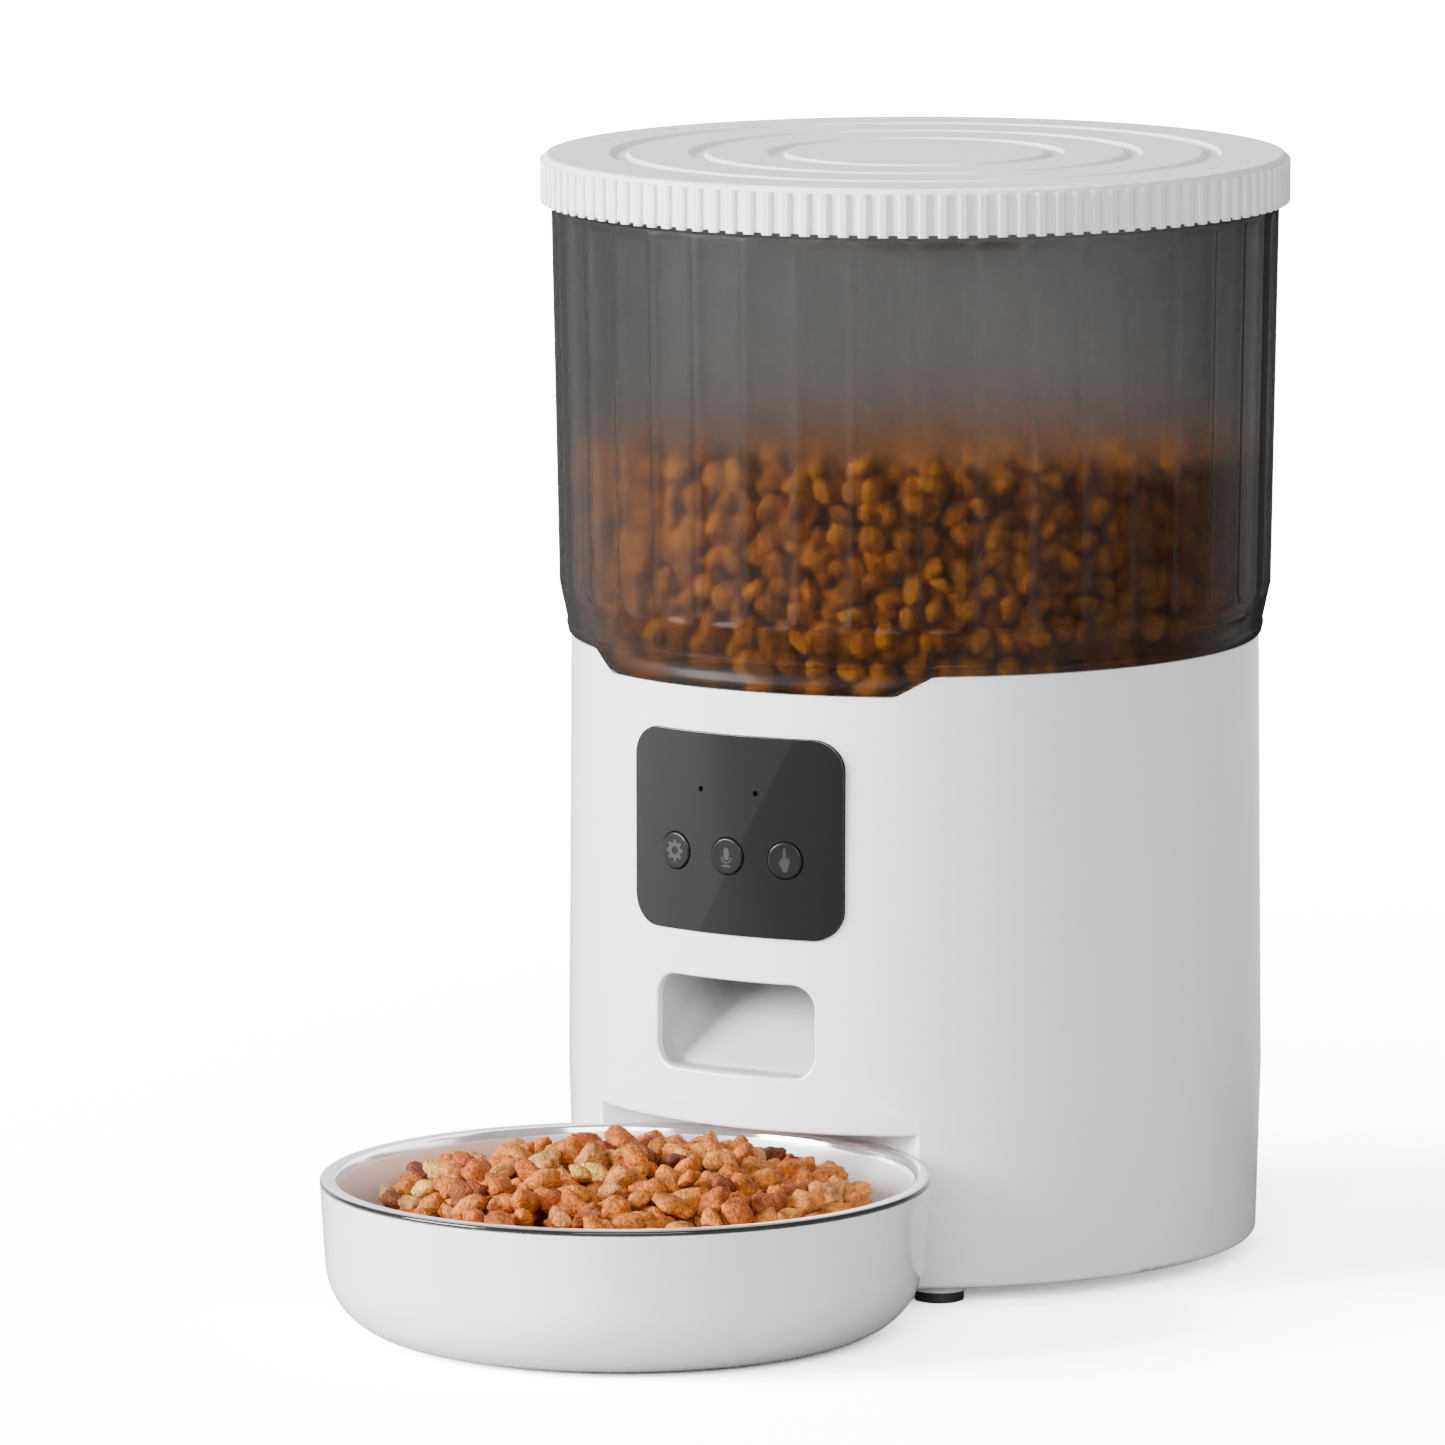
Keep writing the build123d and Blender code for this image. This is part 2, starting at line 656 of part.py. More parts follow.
with BuildPart() as idler_pins:
    with BuildSketch(Plane.XY.offset(CASE_Z + CASE_T)):
        with Locations(IDLER_A, IDLER_B):
            Circle(PIN_R)
    extrude(amount=WELL_FLOOR - WELL_FLOOR_THICK - CASE_Z - CASE_T)
save(idler_pins, "idler_pins")

with BuildPart() as gearbox_case:
    with BuildSketch(Plane.XY.offset(CASE_Z)):
        with Locations((0, 0), IDLER_A, IDLER_B):
            Circle(CASE_R)
        with Locations(MOTOR):
            Circle(14.8)
        make_hull()
    extrude(amount=WELL_FLOOR - WELL_FLOOR_THICK - CASE_Z)
    with BuildSketch(Plane.XY.offset(CASE_Z + CASE_T)):
        with Locations((0, 0), IDLER_A, IDLER_B):
            Circle(CASE_R - 1.3)
        with Locations(MOTOR):
            Circle(13.5)
        make_hull()
    extrude(amount=WELL_FLOOR - CASE_Z, mode=Mode.SUBTRACT)
    with Locations((0, 0, CASE_Z)):
        Cylinder(2.5 + RUNNING, 3 * CASE_T, mode=Mode.SUBTRACT)
    with Locations((MOTOR[0], MOTOR[1], CASE_Z)):
        Cylinder(3.2, 3 * CASE_T, mode=Mode.SUBTRACT)
save(gearbox_case, "gearbox_case")

with BuildPart() as drive_motor:
    with Locations((MOTOR[0], MOTOR[1], 54.0)):
        Cylinder(13.6, CASE_Z - 54.0, align=(Align.CENTER, Align.CENTER, Align.MIN))
    fillet(drive_motor.edges().group_by(Axis.Z)[0], radius=2.0)
    with Locations((MOTOR[0], MOTOR[1], 51.0)):
        Cylinder(5.0, 3.0, align=(Align.CENTER, Align.CENTER, Align.MIN))
    with Locations((MOTOR[0], MOTOR[1], CASE_Z)):
        Cylinder(1.0 + RUNNING, 22.0, mode=Mode.SUBTRACT)
save(drive_motor, "drive_motor")

with BuildPart() as shaft_bush:
    with BuildSketch(Plane.XY.offset(WELL_FLOOR - WELL_FLOOR_THICK)):
        Circle(BUSH_R)
        Circle(SHAFT_R + RUNNING, mode=Mode.SUBTRACT)
    extrude(amount=WELL_FLOOR_THICK)
save(shaft_bush, "shaft_bush")

# ---------------------------------------------------------------- control panel
BUTTON_AZIMUTHS = {"left_button": -10.45, "middle_button": 0.0, "right_button": 10.45}
BUTTON_TOP_R = 96.25
BUTTON_FLANGE_R = 92.6


def radial_plane(azimuth, radius, z):
    """The plane square to the body's radius at an azimuth, looking outwards."""
    x, y = polar(radius, azimuth)
    return Plane(origin=(x, y, z), z_dir=(x, y, 0))


with BuildPart() as panel_window:
    add(curved_slab(front_rectangle(PANEL_W, PANEL_H, PANEL_CORNER, PANEL_Z), PANEL_IN_R, PANEL_OUT_R))
    chamfer(panel_window.faces().sort_by(SortBy.AREA)[-1].edges(), length=0.5)
    for azimuth in BUTTON_AZIMUTHS.values():
        with BuildSketch(radial_plane(azimuth, 90, BUTTON_Z)):
            Circle(BUTTON_R + BUTTON_GAP)
        extrude(amount=10, mode=Mode.SUBTRACT)
    with BuildSketch(Plane.XZ.offset(FAR)):
        with Locations((-PINHOLE_X, PINHOLE_Z), (PINHOLE_X, PINHOLE_Z)):
            Circle(PINHOLE_R)
    extrude(amount=-40, mode=Mode.SUBTRACT)
save(panel_window, "panel_window")

for name, azimuth in BUTTON_AZIMUTHS.items():
    with BuildPart() as button:
        with BuildSketch(radial_plane(azimuth, BUTTON_FLANGE_R - 1.4, BUTTON_Z)):
            Circle(BUTTON_R)
        extrude(amount=BUTTON_TOP_R - BUTTON_FLANGE_R + 1.4)
        fillet(button.edges().filter_by(GeomType.CIRCLE).sort_by(Axis.Y)[0], radius=0.6)
        with BuildSketch(radial_plane(azimuth, BUTTON_FLANGE_R - 1.4, BUTTON_Z)):
            Circle(BUTTON_R + 1.0)
        extrude(amount=1.1)
        with BuildSketch(radial_plane(azimuth, 88.6 if azimuth == 0 else 89.8, BUTTON_Z)):
            Circle(1.6)
        extrude(amount=3.0)
    save(button, name)

BOARD_T = 1.6
with BuildPart() as control_board:
    with BuildSketch(Plane.XZ.offset(BOARD_FRONT)):
        with Locations((0, 125.8)):
            RectangleRounded(58, 49, 2)
        with Locations(*BOARD_POSTS):
            Circle(1.1, mode=Mode.SUBTRACT)
    extrude(amount=-BOARD_T)
save(control_board, "control_board")

TACTS = [(-BUTTON_PITCH + 1.2, BUTTON_Z), (0, BUTTON_Z), (BUTTON_PITCH - 1.2, BUTTON_Z)]
with BuildPart() as tact_switches:
    with BuildSketch(Plane.XZ.offset(BOARD_FRONT)):
        with Locations(*TACTS):
            Rectangle(6, 6)
    extrude(amount=1.9)
    with BuildSketch(Plane.XZ.offset(BOARD_FRONT + 1.9)):
        with Locations(*TACTS):
            Circle(1.7)
    extrude(amount=0.7)
save(tact_switches, "tact_switches")

with BuildPart() as status_led:
    with BuildSketch(Plane.XZ.offset(BOARD_FRONT)):
        with Locations((PINHOLE_X, PINHOLE_Z)):
            Circle(2.0)
    extrude(amount=1.0)
    with BuildSketch(Plane.XZ.offset(BOARD_FRONT)):
        with Locations((PINHOLE_X, PINHOLE_Z)):
            Circle(1.5)
    extrude(amount=5.0)
    fillet(status_led.edges().group_by(Axis.Y)[0], radius=1.2)
save(status_led, "status_led")

with BuildPart() as microphone:
    with BuildSketch(Plane.XZ.offset(BOARD_FRONT)):
        with Locations((-PINHOLE_X, PINHOLE_Z)):
            Circle(2.4)
            Circle(0.5, mode=Mode.SUBTRACT)
    extrude(amount=2.7)
save(microphone, "microphone")

with BuildPart() as board_screws:
    with BuildSketch(Plane.XZ.offset(BOARD_FRONT - BOARD_T)):
        with Locations(*BOARD_POSTS):
            Circle(1.9)
    extrude(amount=-1.2)
    with BuildSketch(Plane.XZ.offset(BOARD_FRONT - BOARD_T)):
        with Locations(*BOARD_POSTS):
            Circle(0.85)
    extrude(amount=5.6)
save(board_screws, "board_screws")

# ---------------------------------------------------------------- main board, power inlet and speaker
with BuildPart() as main_board:
    with BuildSketch(Plane.XZ.offset(-MAIN_BOARD_Y)):
        with Locations((0, 78)):
            RectangleRounded(66, 50, 2)
        with Locations(*MAIN_POSTS):
            Circle(1.1, mode=Mode.SUBTRACT)
    extrude(amount=BOARD_T)
save(main_board, "main_board")

with BuildPart() as board_components:
    with BuildSketch(Plane.XZ.offset(-MAIN_BOARD_Y + BOARD_T)):
        with Locations((0, 76)):
            Rectangle(18, 20)
        with Locations((-20, 84)):
            Rectangle(10, 8)
        with Locations((19, 86)):
            Rectangle(9, 14)
    extrude(amount=2.4)
    with BuildSketch(Plane.XZ.offset(-MAIN_BOARD_Y + BOARD_T)):
        with Locations((-18, 66), (18, 66)):
            Circle(4.0)
    extrude(amount=9.0)
save(board_components, "board_components")

with BuildPart() as main_board_screws:
    with BuildSketch(Plane.XZ.offset(-MAIN_BOARD_Y + BOARD_T)):
        with Locations(*MAIN_POSTS):
            Circle(1.9)
    extrude(amount=1.2)
    with BuildSketch(Plane.XZ.offset(-MAIN_BOARD_Y + BOARD_T)):
        with Locations(*MAIN_POSTS):
            Circle(0.85)
    extrude(amount=-7.6)
save(main_board_screws, "main_board_screws")

JACK_BACK = 76.0
JACK_FACE = 93.0
with BuildPart() as power_inlet:
    with BuildSketch(Plane.XZ.offset(-JACK_BACK)):
        with Locations((0, JACK_Z)):
            SlotOverall(12.0, 6.6)
    extrude(amount=-(JACK_FACE - JACK_BACK))
    with BuildSketch(Plane.XZ.offset(-JACK_BACK)):
        with Locations((0, JACK_Z)):
            Rectangle(20, 9)
    extrude(amount=-14.6)
    with BuildSketch(Plane.XZ.offset(-JACK_FACE)):
        with Locations((0, JACK_Z)):
            SlotOverall(9.0, 3.2)
            SlotOverall(6.6, 0.8, mode=Mode.SUBTRACT)
    extrude(amount=6.2, mode=Mode.SUBTRACT)
save(power_inlet, "power_inlet")

with BuildPart() as speaker:
    with Locations((0, SPEAKER_Y, BASE_Z + COVER_T)):
        Cylinder(SPEAKER_R, 2.6, align=(Align.CENTER, Align.CENTER, Align.MIN))
        Cylinder(8.0, 8.0, align=(Align.CENTER, Align.CENTER, Align.MIN))
save(speaker, "speaker")

# ---------------------------------------------------------------- hopper
SEAT_Z = RIM_Z + 0.3
FOOT_OF_TANK_R = 94.6
SPIGOT_OUT_R = 91.6
SPIGOT_IN_R = 90.0
SPIGOT_Z = 163.0
TANK_FOOT_IN_R = SPIGOT_OUT_R + 0.1
FLUTES = 40
FLUTE_ANGLE = 7.2
FLUTE_DEPTH = 0.4
FLUTE_Z0 = 183.0
FLUTE_Z1 = 287.0
LUGS = 4
LUG_Z = 295.6
LUG_T = 2.0
LUG_R = 99.4


def tank_radius(z):
    """Outside radius of the hopper above its shoulder."""
    return SHOULDER_R + (HOPPER_TOP_R - SHOULDER_R) * (z - SHOULDER_Z) / (HOPPER_LIP_Z - SHOULDER_Z)


def shoulder_radius(z):
    """Outside radius of the hopper below its shoulder."""
    return FOOT_OF_TANK_R + (SHOULDER_R - FOOT_OF_TANK_R) * (z - SEAT_Z) / (SHOULDER_Z - SEAT_Z)


def bayonet_lugs(count, start_angle, half_angle, inner_radius, outer_radius, z, thickness):
    """Equal lugs round the upright axis, each a sector of a flat ring."""
    spread = FAR * tan(radians(half_angle))
    with BuildPart() as lugs:
        with BuildSketch(Plane.XY.offset(z)):
            Circle(outer_radius)
            Circle(inner_radius, mode=Mode.SUBTRACT)
        extrude(amount=thickness)
        with BuildSketch(Plane.XY.offset(z)):
            with PolarLocations(0, count, start_angle=start_angle):
                Polygon((0, 0), (FAR, -spread), (FAR, spread), align=None)
        extrude(amount=thickness, mode=Mode.INTERSECT)
    return lugs.part


with BuildPart() as flute_cuts:
    with BuildSketch(Plane.XZ):
        Polygon(
            (shoulder_radius(FLUTE_Z0) - FLUTE_DEPTH, FLUTE_Z0),
            (shoulder_radius(FLUTE_Z0) + 3, FLUTE_Z0),
            (HOPPER_TOP_R + 3, FLUTE_Z1),
            (tank_radius(FLUTE_Z1) - FLUTE_DEPTH, FLUTE_Z1),
            (SHOULDER_R - FLUTE_DEPTH, SHOULDER_Z),
            align=None,
        )
    revolve(axis=Axis.Z)
    half_width = FAR * tan(radians(FLUTE_ANGLE / 2))
    with BuildSketch(Plane.XY.offset(FLUTE_Z0)):
        with PolarLocations(0, FLUTES, start_angle=-90):
            Polygon((0, 0), (FAR, -half_width), (FAR, half_width), align=None)
    extrude(amount=FLUTE_Z1 - FLUTE_Z0, mode=Mode.INTERSECT)

with BuildPart() as hopper_tank:
    with BuildSketch(Plane.XZ):
        Polygon(
            (FOOT_OF_TANK_R, SEAT_Z),
            (SHOULDER_R, SHOULDER_Z),
            (HOPPER_TOP_R, HOPPER_LIP_Z),
            (NECK_R, HOPPER_LIP_Z),
            (NECK_R, NECK_TOP),
            (NECK_R - 2.4, NECK_TOP),
            (NECK_R - 2.4, HOPPER_LIP_Z - 3),
            (SHOULDER_R - HOPPER_WALL, SHOULDER_Z),
            (TANK_FOOT_IN_R, SEAT_Z + 4.5),
            (TANK_FOOT_IN_R, SEAT_Z),
            align=None,
        )
    revolve(axis=Axis.Z)
    add(curved_slab(tab_outline(0), BASE_RIM_R - WALL + 0.3, FOOT_OF_TANK_R))
    add(bayonet_lugs(LUGS, 0, 14, NECK_R - 1, LUG_R, LUG_Z, LUG_T))
    add(flute_cuts.part, mode=Mode.SUBTRACT)
    for side in (-1, 1):
        with Locations((side * (shoulder_radius(180.4) + 0.6), 0, 180.4)):
            Box(3.0, 33.0, 2.1, mode=Mode.SUBTRACT)
save(hopper_tank, "hopper_tank")

# a clear funnel bonded inside the tank's foot; its outer wall is the spigot that drops into the body
FUNNEL_COLLAR_Z = 149.4
FUNNEL_LIP_Z = 175.4
CONE_TOP_Z = 165.4
CONE_FOOT_Z = 156.4
with BuildPart() as hopper_funnel:
    with BuildSketch(Plane.XZ):
        Polygon(
            (SPIGOT_OUT_R, FUNNEL_LIP_Z),
            (SPIGOT_OUT_R, SPIGOT_Z),
            (SPIGOT_IN_R, SPIGOT_Z),
            (THROAT_R + 2.4, CONE_FOOT_Z - 1.4),
            (THROAT_R + 2.4, FUNNEL_COLLAR_Z),
            (THROAT_R, FUNNEL_COLLAR_Z),
            (THROAT_R, CONE_FOOT_Z),
            (SPIGOT_IN_R, CONE_TOP_Z),
            (SPIGOT_IN_R, FUNNEL_LIP_Z),
            align=None,
        )
    revolve(axis=Axis.Z)
save(hopper_funnel, "hopper_funnel")

# ---------------------------------------------------------------- lid
LID_BODY_R = LID_R - LID_RIB_HEIGHT
LID_T = 2.4
GROOVES = [(35.2, 40.8), (56.9, 62.2), (78.3, 83.7)]
GROOVE_DEPTH = 1.0
GROOVE_SLOPE = 0.9
LID_LUG_Z = 292.4
LID_LUG_R = 98.0
SEAL_Z = NECK_TOP + 0.3
SEAL_T = LID_TOP - LID_T - 0.3 - SEAL_Z

groove_points = []
for inner, outer in GROOVES:
    groove_points.append((inner, LID_TOP))
    groove_points.append((inner + GROOVE_SLOPE, LID_TOP - GROOVE_DEPTH))
    groove_points.append((outer - GROOVE_SLOPE, LID_TOP - GROOVE_DEPTH))
    groove_points.append((outer, LID_TOP))

with BuildPart() as lid_shell:
    with BuildSketch(Plane.XZ):
        Polygon(
            (0, LID_TOP - LID_T),
            (0, LID_TOP),
            *groove_points,
            (LID_BODY_R, LID_TOP),
            (LID_BODY_R, LID_SKIRT_Z + 0.6),
            (LID_SKIRT_IN_R, LID_SKIRT_Z + 0.6),
            (LID_SKIRT_IN_R, LID_TOP - LID_T),
            align=None,
        )
    revolve(axis=Axis.Z)
    fillet(lid_shell.edges().group_by(Axis.Z)[-1].sort_by(SortBy.RADIUS)[-1], radius=1.2)
    with BuildSketch(Plane.XY.offset(LID_SKIRT_Z)):
        with PolarLocations(0, LID_RIBS, start_angle=-90):
            Polygon(
                (LID_BODY_R - 0.4, -1.35),
                (LID_R - 0.3, -1.35),
                (LID_R, -0.8),
                (LID_R, 0.8),
                (LID_R - 0.3, 1.35),
                (LID_BODY_R - 0.4, 1.35),
                align=None,
            )
    extrude(amount=LID_TOP - 1.5 - LID_SKIRT_Z)
    add(bayonet_lugs(LUGS, 45, 12, LID_LUG_R, LID_SKIRT_IN_R + 0.4, LID_LUG_Z, 2.2))
save(lid_shell, "lid_shell")

with BuildPart() as lid_seal:
    with BuildSketch(Plane.XY.offset(SEAL_Z)):
        Circle(NECK_R)
        Circle(NECK_R - 4, mode=Mode.SUBTRACT)
    extrude(amount=SEAL_T)
save(lid_seal, "lid_seal")

DESICCANT_R = 31.0
DESICCANT_Z = 283.0
with BuildPart() as desiccant_box:
    with BuildSketch(Plane.XY.offset(DESICCANT_Z)):
        Circle(DESICCANT_R)
        Circle(DESICCANT_R - 1.6, mode=Mode.SUBTRACT)
    extrude(amount=LID_TOP - LID_T - DESICCANT_Z)
save(desiccant_box, "desiccant_box")

with BuildPart() as desiccant_cover:
    with BuildSketch(Plane.XY.offset(DESICCANT_Z - 1.8)):
        Circle(DESICCANT_R)
        with PolarLocations(15, 12):
            SlotOverall(20, 2.2, mode=Mode.SUBTRACT)
    extrude(amount=1.8)
save(desiccant_cover, "desiccant_cover")

with BuildPart() as desiccant_pack:
    with BuildSketch(Plane.XY.offset(DESICCANT_Z)):
        RectangleRounded(38, 36, 6)
    extrude(amount=9)
    fillet(desiccant_pack.edges().group_by(Axis.Z)[-1], radius=4)
save(desiccant_pack, "desiccant_pack")

# ---------------------------------------------------------------- bowl
BOWL_FLOOR_Z = 0.7
HOLDER_T = 2.2
HOLDER_WAIST_R = 79.7
STEEL_T = 0.8

with BuildPart() as bowl_holder:
    with BuildSketch(Plane.XZ) as holder_half:
        with BuildLine():
            wall = FilletPolyline(
                (0, BOWL_FLOOR_Z),
                (HOLDER_WAIST_R - 0.9, BOWL_FLOOR_Z),
                (BOWL_R, HOLDER_TOP),
                radius=19.5,
            )
            inner = FilletPolyline(
                (BOWL_R - HOLDER_T, HOLDER_TOP),
                (HOLDER_WAIST_R - 0.9 - HOLDER_T, BOWL_FLOOR_Z + HOLDER_T),
                (0, BOWL_FLOOR_Z + HOLDER_T),
                radius=17.3,
            )
            Line((BOWL_R, HOLDER_TOP), (BOWL_R - HOLDER_T, HOLDER_TOP))
            Line((0, BOWL_FLOOR_Z + HOLDER_T), (0, BOWL_FLOOR_Z))
        make_face()
    revolve(axis=Axis.Z)
    with BuildSketch(Plane.XZ.offset(-HOLDER_WAIST_R + 4)):
        with Locations((0, TONGUE_Z)):
            SlotOverall(TONGUE_W, TONGUE_T)
    extrude(amount=-13.5)
bowl_holder.part = bowl_holder.part.moved(Location((0, -BOWL_REACH, 0)))
save(bowl_holder, "bowl_holder")

with BuildPart() as bowl_foot_ring:
    with BuildSketch(Plane.XY):
        with Locations((0, -BOWL_REACH)):
            Circle(56)
            Circle(51, mode=Mode.SUBTRACT)
    extrude(amount=BOWL_FLOOR_Z)
save(bowl_foot_ring, "bowl_foot_ring")

RIM_Z0 = HOLDER_TOP + 0.3
RIM_IN_R = 77.6
with BuildPart() as steel_bowl:
    with BuildSketch(Plane.XZ):
        with BuildLine():
            FilletPolyline(
                (0, 6.0),
                (73.5, 6.0),
                (RIM_IN_R, RIM_Z0),
                radius=17,
            )
            Polyline(
                (RIM_IN_R, RIM_Z0),
                (BOWL_R, RIM_Z0),
                (BOWL_R, BOWL_HEIGHT - 0.5),
                (BOWL_R - 0.6, BOWL_HEIGHT),
                (RIM_IN_R - STEEL_T + 0.6, BOWL_HEIGHT),
                (RIM_IN_R - STEEL_T, BOWL_HEIGHT - 0.6),
            )
            FilletPolyline(
                (RIM_IN_R - STEEL_T, BOWL_HEIGHT - 0.6),
                (73.5 - STEEL_T, 6.0 + STEEL_T),
                (0, 6.0 + STEEL_T),
                radius=16.2,
            )
            Line((0, 6.0 + STEEL_T), (0, 6.0))
        make_face()
    revolve(axis=Axis.Z)
steel_bowl.part = steel_bowl.part.moved(Location((0, -BOWL_REACH, 0)))
save(steel_bowl, "steel_bowl")
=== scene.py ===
"""The looks of the automatic pet feeder: materials for every CAD piece, the smoked hopper, the spun
steel bowl, the dry food and the printed marks, then the studio around them.

Lengths inside the mesh helpers are millimetres from the body's upright axis, and are turned into
metres in the part's own frame when a mesh is made.
"""

import json
import math
import random

import bmesh
import bpy
from mathutils import Euler, Matrix, Vector, noise


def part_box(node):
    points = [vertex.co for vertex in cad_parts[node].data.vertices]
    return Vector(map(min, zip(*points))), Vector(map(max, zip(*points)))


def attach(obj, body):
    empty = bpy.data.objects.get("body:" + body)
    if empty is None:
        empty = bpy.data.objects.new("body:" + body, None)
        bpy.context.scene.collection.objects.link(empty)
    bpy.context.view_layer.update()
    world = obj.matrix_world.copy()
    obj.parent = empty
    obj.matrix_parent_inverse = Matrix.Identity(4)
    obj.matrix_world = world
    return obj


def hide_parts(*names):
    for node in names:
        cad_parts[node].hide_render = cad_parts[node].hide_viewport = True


MM = 0.001
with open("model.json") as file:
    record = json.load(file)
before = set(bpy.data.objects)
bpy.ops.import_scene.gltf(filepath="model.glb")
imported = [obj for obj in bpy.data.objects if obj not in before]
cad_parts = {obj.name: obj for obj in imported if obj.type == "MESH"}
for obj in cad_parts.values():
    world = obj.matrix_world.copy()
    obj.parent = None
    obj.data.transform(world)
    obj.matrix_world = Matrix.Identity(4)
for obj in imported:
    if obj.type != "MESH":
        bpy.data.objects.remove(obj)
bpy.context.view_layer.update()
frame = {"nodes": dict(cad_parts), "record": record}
nodes = frame["nodes"]


def middle(node):
    """The plan position, in millimetres, of the middle of a node's box."""
    low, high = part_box(node)
    return ((low[0] + high[0]) / 2 / MM, (low[1] + high[1]) / 2 / MM)


BODY = middle("lid_seal")
BOWL = middle("steel_bowl")


# ---------------------------------------------------------------- mesh helpers
def make_object(name, points, faces, centre=(0.0, 0.0), smooth=True):
    """A mesh object from points in millimetres about a plan centre."""
    mesh = bpy.data.meshes.new(name)
    placed = [((x + centre[0]) * MM, (y + centre[1]) * MM, z * MM) for x, y, z in points]
    mesh.from_pydata(placed, [], faces)
    mesh.validate()
    shaped = bmesh.new()
    shaped.from_mesh(mesh)
    bmesh.ops.recalc_face_normals(shaped, faces=shaped.faces)
    shaped.to_mesh(mesh)
    shaped.free()
    for face in mesh.polygons:
        face.use_smooth = smooth
    made = bpy.data.objects.new(name, mesh)
    bpy.context.scene.collection.objects.link(made)
    return made


def around(azimuths, loops):
    """Points and faces of a closed ring: one closed loop of (radius, height) for each azimuth in degrees.

    An azimuth of 0 is the front, and it grows towards +X.
    """
    points = []
    for azimuth, loop in zip(azimuths, loops):
        turn = math.radians(azimuth)
        for radius, height in loop:
            points.append((radius * math.sin(turn), -radius * math.cos(turn), height))
    rows = len(loops[0])
    faces = []
    for column in range(len(azimuths)):
        after = (column + 1) % len(azimuths)
        for row in range(rows):
            up = (row + 1) % rows
            faces.append((column * rows + row, after * rows + row, after * rows + up, column * rows + up))
    return points, faces


def rounded(profile, radius, steps=5):
    """A profile's points with each inner corner replaced by a short curve of about the given radius."""
    result = [profile[0]]
    for before, corner, after in zip(profile, profile[1:], profile[2:]):
        back = (before[0] - corner[0], before[1] - corner[1])
        ahead = (after[0] - corner[0], after[1] - corner[1])
        back_length = math.hypot(*back)
        ahead_length = math.hypot(*ahead)
        reach = min(radius, back_length * 0.48, ahead_length * 0.48)
        start = (corner[0] + back[0] / back_length * reach, corner[1] + back[1] / back_length * reach)
        end = (corner[0] + ahead[0] / ahead_length * reach, corner[1] + ahead[1] / ahead_length * reach)
        for step in range(steps + 1):
            t = step / steps
            weights = ((1 - t) ** 2, 2 * t * (1 - t), t**2)
            result.append(
                tuple(
                    weights[0] * start[k] + weights[1] * corner[k] + weights[2] * end[k] for k in (0, 1)
                )
            )
    result.append(profile[-1])
    return result


def smoothstep(low, high, value):
    """0 below low, 1 above high and an even curve between."""
    t = min(max((value - low) / (high - low), 0.0), 1.0)
    return t * t * (3 - 2 * t)


# ---------------------------------------------------------------- materials
def new_material(name):
    """An empty node material, its Principled shader and a function that adds nodes to it."""
    material = bpy.data.materials.new(name)
    material.use_nodes = True
    tree = material.node_tree
    shader = tree.nodes["Principled BSDF"]

    def node(kind, **settings):
        """Adds a node; settings whose names are sockets set those, the rest set properties."""
        made = tree.nodes.new(kind)
        for key, value in settings.items():
            label = key.replace("_", " ").title()
            if label in made.inputs:
                made.inputs[label].default_value = value
            else:
                setattr(made, key, value)
        return made

    return material, shader, tree.links.new, node


def remap(link, node, value, start, end, low=0.0, high=1.0, smooth=False):
    """The socket of a value that runs from start to end while the given one runs from low to high."""
    made = node("ShaderNodeMapRange", interpolation_type="SMOOTHSTEP" if smooth else "LINEAR")
    made.inputs["From Min"].default_value = low
    made.inputs["From Max"].default_value = high
    made.inputs["To Min"].default_value = start
    made.inputs["To Max"].default_value = end
    link(value, made.inputs["Value"])
    return made.outputs["Result"]


def between(link, node, factor, first, second):
    """The socket of a colour that runs from the first to the second as the factor goes from 0 to 1."""
    made = node("ShaderNodeMix", data_type="RGBA")
    made.inputs[6].default_value = (*first, 1)
    made.inputs[7].default_value = (*second, 1)
    link(factor, made.inputs[0])
    return made.outputs[2]


def noise_at(link, node, place, scale, detail):
    """The socket of a noise texture's value at a place."""
    made = node("ShaderNodeTexNoise", scale=scale, detail=detail)
    link(place, made.inputs["Vector"])
    return made.outputs["Fac"]


def scaled(link, node, color, factor):
    """The socket of a colour made brighter or darker by a factor."""
    made = node("ShaderNodeVectorMath", operation="SCALE")
    link(color, made.inputs[0])
    link(factor, made.inputs["Scale"])
    return made.outputs["Vector"]


def bump_from(link, node, shader, height, strength, distance):
    """Gives a shader small relief from a height."""
    bump = node("ShaderNodeBump", strength=strength, distance=distance)
    link(height, bump.inputs["Height"])
    link(bump.outputs["Normal"], shader.inputs["Normal"])


def choose(link, node, switch, otherwise, chosen):
    """The socket of a surface that is the chosen one where the switch is 1, and otherwise the other."""
    made = node("ShaderNodeMixShader")
    link(switch, made.inputs[0])
    link(otherwise, made.inputs[1])
    link(chosen, made.inputs[2])
    return made.outputs["Shader"]


def let_lamps_through(link, node, material, surface, share):
    """Makes a surface cast only a light shadow, which lets this share of a lamp's light pass."""
    passing = node("ShaderNodeBsdfTransparent")
    passing.inputs["Color"].default_value = (share, share, share, 1)
    path = node("ShaderNodeLightPath")
    shown = choose(link, node, path.outputs["Is Shadow Ray"], surface, passing.outputs["BSDF"])
    link(shown, material.node_tree.nodes["Material Output"].inputs["Surface"])


